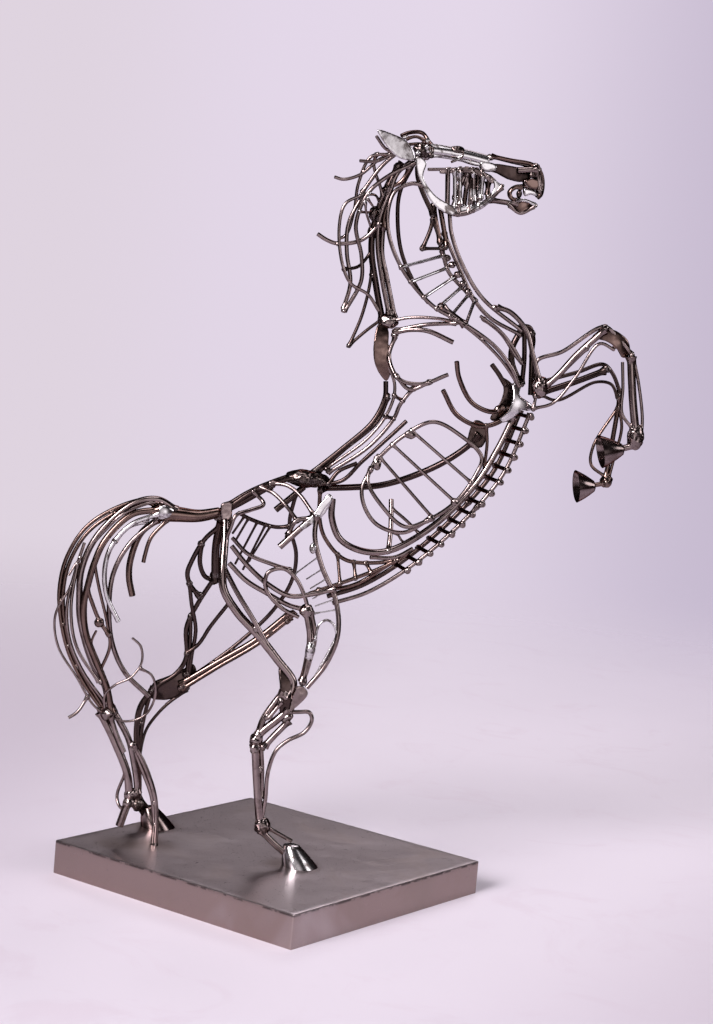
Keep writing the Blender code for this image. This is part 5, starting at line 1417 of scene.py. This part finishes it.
def steel(name, colour, roughness, oxide, tint, metal_grain, oxide_from=0.46):
    """Brushed steel: lines along the rod, oxide in patches, and near the welds the colours that welding
    heat leaves, darkened to soot also as painted shade in the crevices where rods meet.
    """
    rule = settings("steel")
    material, f = new_finish(name)
    place = f.attribute("rod_place", out="Vector")
    spot = f.place()
    heat = f.attribute("heat")
    tone = f.attribute("tone")
    metal = f.attribute("weld_metal")
    lines = f.grain(f.stretched(place, (160, 2600, 2600)), 1.0, 3.0, 0.6)
    marks = f.grain(f.stretched(place, (2400, 420, 420)), 1.0, 2.0, 0.6)
    mottle = f.grain(spot, 95, 4.0, 0.6, 0.4)
    fine = f.grain(spot, 620, 3.0, 0.65)
    patch = f.between(mottle + tone * 0.05 + (fine - 0.5) * 0.05, oxide_from, oxide_from + 0.16)
    # Heat tint near the welds, which is also painted shade in the crevices where the rods meet.
    heat_and_shade = f.between(heat + (f.grain(spot, 240, 3.0, 0.6) - 0.5) * 0.7, 0.15, 1.05)
    dull = f.blend(patch * oxide, colour, dimmed(rule.tinted, 0.42))
    grained = f.blend(f.between(lines, 0.62, 0.40) * 0.22, dull, dimmed(colour, 0.45))
    # The heat tint's colours darken to soot at the weld; the darkest of them are painted crevice shade as
    # well as scale.
    heat_tint_and_shade = f.ramp(heat_and_shade, [
        (0.0, colour), (0.20, (0.34, 0.255, 0.195)), (0.38, (0.20, 0.120, 0.088)),
        (0.55, (0.105, 0.064, 0.055)), (0.75, (0.062, 0.052, 0.055)), (1.0, tuple(rule.soot_and_crevice_shade))])
    tinted = f.blend(f.between(heat_and_shade, 0.10, 0.55) * tint, grained, heat_tint_and_shade)
    beaded = f.blend(metal * f.between(fine, 0.42, 0.62) * 0.75, tinted, (0.24, 0.215, 0.205))
    rough = roughness + (lines - 0.5) * 0.08 + patch * 0.08 + heat_and_shade * 0.10
    shape = f.bump(lines, 0.000010 * metal_grain, 0.5)
    shape = f.bump(marks, 0.000005 * metal_grain, 0.5, shape)
    shape = f.bump(fine * (heat_and_shade + 0.04), 0.00034, 0.55, shape)
    f.surface({"Base Color": beaded, "Metallic": 1.0, "Roughness": rough,
               "Specular Tint": (*rule.rim, 1), "Normal": shape})
    return material


def base_steel():
    """Satin sheet, ground by hand in overlapping arcs, with warm patches, stains and pinholes, and with its
    sides painted darker as shade.
    """
    rule = settings("steel")
    material, f = new_finish(BASE)
    spot = f.place()
    drift = f.grain(spot, 5.5, 3.0, 0.5, 1.2)
    swirl = f.node("ShaderNodeTexNoise", {"noise_dimensions": "3D"}, {
        "Vector": spot, "Scale": 9.0, "Detail": 2.0, "Distortion": 2.2}, out="Color")
    bent = f.vectors("MULTIPLY_ADD", swirl, (0.10, 0.10, 0.10), spot)
    brushed = f.grain(f.stretched(bent, (46, 620, 620)), 1.0, 4.0, 0.65)
    crossed = f.grain(f.stretched(bent, (700, 60, 500)), 1.0, 4.0, 0.65)
    stain = f.grain(spot, 16, 5.0, 0.6, 0.8)
    pores = f.spots(spot, 420)
    warm = f.between(stain, 0.50, 0.72)
    colour = f.blend(warm * 0.62, rule.plate, (0.34, 0.27, 0.255))
    height = f.node("ShaderNodeSeparateXYZ", sockets={0: spot}, out="Z")
    rim_top, rim_low, seam_low = (BASE_HEIGHT - depth for depth in (0.0004, 0.0016, 0.0036))
    # Painted shade: the side faces below the ground rim are made darker and browner than the top.
    side = f.between(height, rim_top, rim_low)
    colour = f.blend(side * 0.85, colour, (0.29, 0.212, 0.190))
    streaks = f.grain(f.stretched(spot, (14, 14, 3)), 1.0, 3.0, 0.6)
    colour = f.blend(side * f.between(streaks, 0.50, 0.66) * 0.5, colour, (0.30, 0.235, 0.215))
    for x, y in ((16, -50), (-112, 70), (-116, -1), (-149, 0)):
        foot = f.vectors("DISTANCE", spot, tuple(world(Vector((x, y, 33)))), out="Value")
        burnt = f.between(foot + (stain - 0.5) * 0.03, 0.034, 0.012)
        colour = f.blend(burnt * 0.6, colour, (0.22, 0.150, 0.125))
    seam = side * f.between(height, seam_low, rim_low)
    seam = seam * f.between(f.grain(spot, 60, 4.0, 0.7), 0.47, 0.56)
    colour = f.blend(seam * 0.85, colour, rule.soot_and_crevice_shade)
    colour = f.blend(f.between(drift, 0.52, 0.75) * 0.4, colour, (0.60, 0.545, 0.56))
    colour = f.blend(f.between(brushed, 0.62, 0.36) * 0.13, colour, (0.27, 0.235, 0.235))
    pits = f.between(pores, 0.10, 0.04) * f.between(f.grain(spot, 30, 2.0), 0.66, 0.74)
    colour = f.blend(pits * 0.8, colour, rule.soot_and_crevice_shade)
    rough = 0.31 + (brushed - 0.5) * 0.22 + (crossed - 0.5) * 0.10 + warm * 0.05
    shape = f.bump(brushed, 0.00002, 0.4)
    shape = f.bump(crossed, 0.00001, 0.3, shape)
    shape = f.bump(1.0 - pits, 0.0004, 0.6, shape)
    shape = f.bump(f.grain(spot, 9.0, 2.0), 0.0030, 0.6, shape)
    f.surface({"Base Color": colour, "Metallic": 1.0, "Roughness": rough, "Normal": shape})
    return material


def finish_of(name):
    """The material of a finish, made when it is first asked for."""
    if name not in made_finishes:
        rule = settings("steel")
        made_finishes[name] = {
            STEEL: lambda: steel(STEEL, tuple(rule.bare), 0.15, 0.45, 0.9, 0.6),
            BRIGHT: lambda: steel(BRIGHT, tuple(rule.bright), 0.20, 0.92, 0.75, 0.5, 0.50),
            BROWN: lambda: steel(BROWN, tuple(rule.tinted), 0.16, 0.40, 0.9, 0.6),
            DARK: lambda: steel(DARK, tuple(rule.scaled), 0.20, 0.50, 0.85, 1.0),
            BASE: base_steel,
        }[name]()
    return made_finishes[name]


# The groups of pieces

class HORSE_OT_base(Operator):
    """Builds the box base of sheet steel, open below, with hand-ground edges"""
    bl_idname = "horse.base"
    bl_label = "Base"

    def execute(self, context):
        rule = settings("base")
        bm = bmesh.new()
        middle = MIDDLE + Vector((0, 0, BASE_HEIGHT / 2))
        shape = Matrix.Translation(middle) @ Matrix.Rotation(math.radians(45), 4, "Z")
        shape = shape @ Matrix.Diagonal((BASE_SIDE, BASE_SIDE, BASE_HEIGHT, 1))
        bmesh.ops.create_cube(bm, size=1, matrix=shape)
        bm.faces.ensure_lookup_table()
        under = [f for f in bm.faces if f.normal.z < -0.5]
        bmesh.ops.delete(bm, geom=under, context="FACES_ONLY")
        ground = [e for e in bm.edges if max(v.co.z for v in e.verts) > BASE_HEIGHT / 2]
        bmesh.ops.bevel(bm, geom=ground, offset=rule.edge, offset_type="OFFSET", segments=4, profile=0.5,
                        affect="EDGES", material=-1, clamp_overlap=True)
        long_edges = [e for e in bm.edges if e.calc_length() > BASE_SIDE * 0.9]
        bmesh.ops.subdivide_edges(bm, edges=long_edges, cuts=rule.cells, use_grid_fill=True)
        tall = [e for e in bm.edges if abs(e.verts[0].co.z - e.verts[1].co.z) > BASE_HEIGHT * 0.8]
        bmesh.ops.subdivide_edges(bm, edges=tall, cuts=6, use_grid_fill=True)
        bmesh.ops.recalc_face_normals(bm, faces=bm.faces)
        bm.normal_update()
        for v in bm.verts:
            rim = v.co.z > BASE_HEIGHT - rule.edge * 1.5
            flat = abs(v.normal.z) > 0.999 or abs(v.normal.z) < 0.001
            depth = rule.wobble * (0.25 if flat else 1.0)
            if rim or not flat:
                v.co -= v.normal * abs(noise.noise(v.co * 60)) * depth
        bmesh.ops.solidify(bm, geom=bm.faces, thickness=rule.wall)
        bmesh.ops.recalc_face_normals(bm, faces=bm.faces)
        piece_of("base", [plain_body(bm, BASE)])
        return {"FINISHED"}


class HORSE_OT_hooves(Operator):
    """Builds the four hollow hooves of sheet steel, the right hind one of bright sheet"""
    bl_idname = "horse.hooves"
    bl_label = "Hooves"

    def execute(self, context):
        build_nodes("hoof_hind_right", "hoof_hind_left", "hoof_fore_right", "hoof_fore_left")
        return {"FINISHED"}


class HORSE_OT_head(Operator):
    """Builds the face bar, muzzle, jaw, cheek cage, cheek strap and ear"""
    bl_idname = "horse.head"
    bl_label = "Head"

    def execute(self, context):
        build_nodes("face_bar", "muzzle", "lower_jaw", "cheek", "cheek_strap", "ear_right")
        return {"FINISHED"}


class HORSE_OT_neck(Operator):
    """Builds the neck loop, the crest, the jowl, the throat rods and their rungs"""
    bl_idname = "horse.neck"
    bl_label = "Neck"

    def execute(self, context):
        build_nodes("neck_loop", "crest_dark", "crest_light", "neck_left", "jowl", "throat_front",
                    "throat_back")
        return {"FINISHED"}


class HORSE_OT_mane(Operator):
    """Builds the free rods and wires of the mane"""
    bl_idname = "horse.mane"
    bl_label = "Mane"

    def execute(self, context):
        build_nodes("mane_top", "mane_back", "mane_front")
        return {"FINISHED"}


class HORSE_OT_shoulder(Operator):
    """Builds the shoulder rods, the hook behind the withers and the spine"""
    bl_idname = "horse.shoulder"
    bl_label = "Shoulder and Spine"

    def execute(self, context):
        build_nodes("shoulder_rods", "shoulder_hook", "loin", "spine_right")
        return {"FINISHED"}


class HORSE_OT_ribs(Operator):
    """Builds the rib frame, the rib on the left and the keel rods"""
    bl_idname = "horse.ribs"
    bl_label = "Ribs and Keel"

    def execute(self, context):
        build_nodes("rib_frame", "rib_left", "keel", "keel_inner")
        return {"FINISHED"}


class HORSE_OT_belly(Operator):
    """Builds the ladder of rails and rungs under the belly"""
    bl_idname = "horse.belly"
    bl_label = "Belly Ladder"

    def execute(self, context):
        build_nodes("belly_ladder_rear", "belly_ladder_front")
        return {"FINISHED"}


class HORSE_OT_breast(Operator):
    """Builds the breast rods, arcs, sheet and the bright breast plate"""
    bl_idname = "horse.breast"
    bl_label = "Breast"

    def execute(self, context):
        build_nodes("breast_right", "breast_left", "breast_inner", "breast_sheet", "breast_arcs",
                    "breast_plate")
        return {"FINISHED"}


class HORSE_OT_forelegs(Operator):
    """Builds both raised forelegs"""
    bl_idname = "horse.forelegs"
    bl_label = "Forelegs"

    def execute(self, context):
        build_nodes("forearm_right", "cannon_fore_right", "forearm_left", "cannon_fore_left")
        return {"FINISHED"}


class HORSE_OT_croup(Operator):
    """Builds the croup, the hip rods and the dock"""
    bl_idname = "horse.croup"
    bl_label = "Croup"

    def execute(self, context):
        build_nodes("croup_top", "dock", "hip_rods", "croup_inner")
        return {"FINISHED"}


class HORSE_OT_hind_legs(Operator):
    """Builds both hind legs"""
    bl_idname = "horse.hind_legs"
    bl_label = "Hind Legs"

    def execute(self, context):
        build_nodes("shank_right", "thigh_right", "hip_strap", "cannon_right", "rump_left", "shank_left",
                    "hock_left")
        return {"FINISHED"}


class HORSE_OT_tail(Operator):
    """Builds the long rods and curls of the tail"""
    bl_idname = "horse.tail"
    bl_label = "Tail"

    def execute(self, context):
        build_nodes("tail_outer", "tail_back", "tail_middle", "tail_strand_1", "tail_strand_2",
                    "tail_side", "tail_low", "tail_foot")
        return {"FINISHED"}


class HORSE_OT_stage(Operator):
    """Sets the pale floor, the backdrop, the soft lights and the camera"""
    bl_idname = "horse.stage"
    bl_label = "Stage"

    def execute(self, context):
        rule = settings("stage")
        make_floor(rule)
        make_studio(context, rule)
        make_camera(context, rule)
        return {"FINISHED"}


# The stage

def make_floor(rule):
    """A round pale floor with faint scuffs and painted shade towards the left and the right front, which
    fades into the backdrop.
    """
    bm = bmesh.new()
    bmesh.ops.create_circle(bm, cap_ends=True, cap_tris=True, radius=rule.floor_reach, segments=96,
                            matrix=Matrix.Translation(MIDDLE))
    mesh = bpy.data.meshes.new("floor")
    bm.to_mesh(mesh)
    bm.free()
    floor = bpy.data.objects.new("floor", mesh)
    bpy.context.scene.collection.objects.link(floor)
    material, f = new_finish("pale_floor")
    spot = f.place()
    scuffs = f.between(f.grain(spot, 7.5, 6.0, 0.62, 1.6), 0.52, 0.70)
    clouds = f.between(f.grain(spot, 2.2, 3.0, 0.5), 0.35, 0.70)
    colour = f.blend(clouds * 0.5, rule.floor, dimmed(rule.floor, 0.93))
    colour = f.blend(scuffs * 0.35, colour, shaded(rule.floor, (0.90, 0.84, 0.86)))
    # Painted shadow: the floor darkens towards the left, where the base's shadow falls.
    left_painted_shade = f.vectors("DOT_PRODUCT", spot, (-1.0, 0.35, 0.0), out="Value")
    colour = f.blend(f.between(left_painted_shade, 0.10, 0.55), colour, shaded(rule.floor, (0.78, 0.76, 0.78)))
    # Painted shade: the floor darkens towards the right front.
    right_front_painted_shade = f.vectors("DOT_PRODUCT", spot, (0.8, -0.6, 0.0), out="Value")
    colour = f.blend(f.between(right_front_painted_shade, 0.20, 0.52), colour, shaded(rule.floor, (0.76, 0.74, 0.76)))
    away = f.vectors("DISTANCE", spot, tuple(MIDDLE), out="Value")
    here = f.between(away, rule.floor_reach, 0.55)
    f.surface({"Base Color": colour, "Roughness": 0.55, "Specular IOR Level": 0.25, "Alpha": here})
    mesh.materials.append(material)


def make_studio(context, rule):
    """A pale backdrop all round, with painted shade towards the bottom and the sides, big soft boxes that
    the steel mirrors, and two area lights.
    """
    studio = bpy.data.worlds.new("studio")
    context.scene.world = studio
    studio.use_nodes = True
    f = Finish(studio.node_tree)
    way = f.node("ShaderNodeTexCoord", out="Generated")

    def box(direction, inner, outer):
        """How much of a soft box shows, from its middle out to its edge."""
        aim = Vector(direction).normalized()
        facing = f.vectors("DOT_PRODUCT", way, tuple(aim), out="Value")
        return f.between(facing, math.cos(math.radians(outer)), math.cos(math.radians(inner)))

    height = f.node("ShaderNodeSeparateXYZ", sockets={0: way}, out="Z")
    room = f.blend(f.between(height, -0.25, 0.55), (0.026, 0.013, 0.013), (0.010, 0.007, 0.008))
    lit = room
    for direction, inner, outer, colour in (
        ((0.05, -1.0, 0.0), 6, 34, (0.95, 0.87, 0.90)),
        ((0.17, -1.0, 0.05), 5, 14, (1.8, 1.72, 1.78)),
        ((-0.75, -0.75, 0.55), 7, 15, (25.0, 23.8, 24.6)),
        ((0.95, -0.25, 0.35), 5, 11, (5.0, 4.8, 5.1)),
        ((0.25, 0.85, 0.75), 8, 16, (3.4, 3.2, 3.4)),
        ((0.0, -0.2, 1.0), 8, 16, (4.6, 4.4, 4.6)),
        ((-0.9, 0.6, 0.25), 5, 11, (2.4, 2.2, 2.4)),
    ):
        lit = f.blend(box(direction, inner, outer), lit, colour)
    seen = f.node("ShaderNodeLightPath", out="Is Camera Ray")
    across = f.node("ShaderNodeSeparateXYZ", sockets={0: way}, out="X")
    # Painted shade on the backdrop seen by the camera: darker towards the bottom, darker and bluer towards
    # the right, and a little darker towards the left.
    wall = f.blend(f.between(height, -0.45, 0.35), dimmed(rule.backdrop, 0.93), rule.backdrop)
    wall = f.blend(f.between(across, 0.17, 0.32), wall, shaded(rule.backdrop, (0.72, 0.71, 0.76)))
    wall = f.blend(f.between(across, 0.11, 0.0), wall, shaded(rule.backdrop, (0.94, 0.945, 0.90)))
    shown = f.blend(seen, lit, wall)
    shader = f.node("ShaderNodeBackground", sockets={"Color": shown, "Strength": 1.0})
    f.node("ShaderNodeOutputWorld", sockets={"Surface": shader})
    for name, place, size, power in (
        ("key_light", (-1.6, -1.9, 2.1), 1.0, 26),
        ("fill_light", (2.1, -1.0, 1.5), 1.2, 10),
    ):
        lamp = bpy.data.lights.new(name, "AREA")
        lamp.shape = "DISK"
        lamp.size = size
        lamp.energy = power
        lamp.color = (1.0, 0.97, 1.0)
        obj = bpy.data.objects.new(name, lamp)
        obj.location = MIDDLE + Vector(place)
        aim = MIDDLE + Vector((0, 0, 0.35)) - obj.location
        obj.rotation_euler = aim.to_track_quat("-Z", "Y").to_euler()
        context.scene.collection.objects.link(obj)


def make_camera(context, rule):
    """The camera where the photograph was taken from, solved from the corners of the base."""
    az, el, roll = rule.azimuth, rule.elevation, rule.roll
    back = Vector((math.sin(az) * math.cos(el), -math.cos(az) * math.cos(el), math.sin(el)))
    level = Vector((math.cos(az), math.sin(az), 0))
    above = back.cross(level)
    right = level * math.cos(roll) + above * math.sin(roll)
    up = above * math.cos(roll) - level * math.sin(roll)
    lens = bpy.data.cameras.new("camera")
    lens.sensor_width = 36
    lens.lens = rule.lens
    camera = bpy.data.objects.new("camera", lens)
    camera.matrix_world = Matrix.Translation(MIDDLE + EYE * MM) @ turned((right, up, back))
    context.scene.collection.objects.link(camera)
    context.scene.camera = camera
    context.scene.view_settings.view_transform = "Standard"


GROUPS = (HORSE_OT_base, HORSE_OT_hooves, HORSE_OT_head, HORSE_OT_neck, HORSE_OT_mane,
          HORSE_OT_shoulder, HORSE_OT_ribs, HORSE_OT_belly, HORSE_OT_breast, HORSE_OT_forelegs,
          HORSE_OT_croup, HORSE_OT_hind_legs, HORSE_OT_tail, HORSE_OT_stage)
SETTINGS = {"rods": RodSettings, "welds": WeldSettings, "steel": SteelSettings, "base": BaseSettings,
            "stage": StageSettings}


class HORSE_PT_build(Panel):
    """Lists the horse's settings and the steps that build it"""
    bl_idname = "HORSE_PT_build"
    bl_label = "Rearing Horse"
    bl_space_type = "VIEW_3D"
    bl_region_type = "UI"
    bl_category = "Horse"

    def draw(self, context):
        for kind, group in SETTINGS.items():
            box = self.layout.box()
            box.label(text=kind.title())
            for name in group.__annotations__:
                box.prop(settings(kind), name)
        for group in GROUPS:
            self.layout.operator(group.bl_idname)


def register():
    """Adds the settings, the steps and the panel."""
    for group in SETTINGS.values():
        bpy.utils.register_class(group)
    for group in (*GROUPS, HORSE_PT_build):
        bpy.utils.register_class(group)
    for kind, group in SETTINGS.items():
        setattr(bpy.types.Scene, "horse_" + kind, PointerProperty(type=group))


def unregister():
    """Takes them away again."""
    for kind in SETTINGS:
        delattr(bpy.types.Scene, "horse_" + kind)
    for group in (*GROUPS, HORSE_PT_build, *SETTINGS.values()):
        bpy.utils.unregister_class(group)


def main():
    """Builds the whole horse and its stage."""
    register()
    for group in GROUPS:
        name = group.bl_idname.split(".")[1]
        getattr(bpy.ops.horse, name)()


if __name__ == "__main__":
    main()
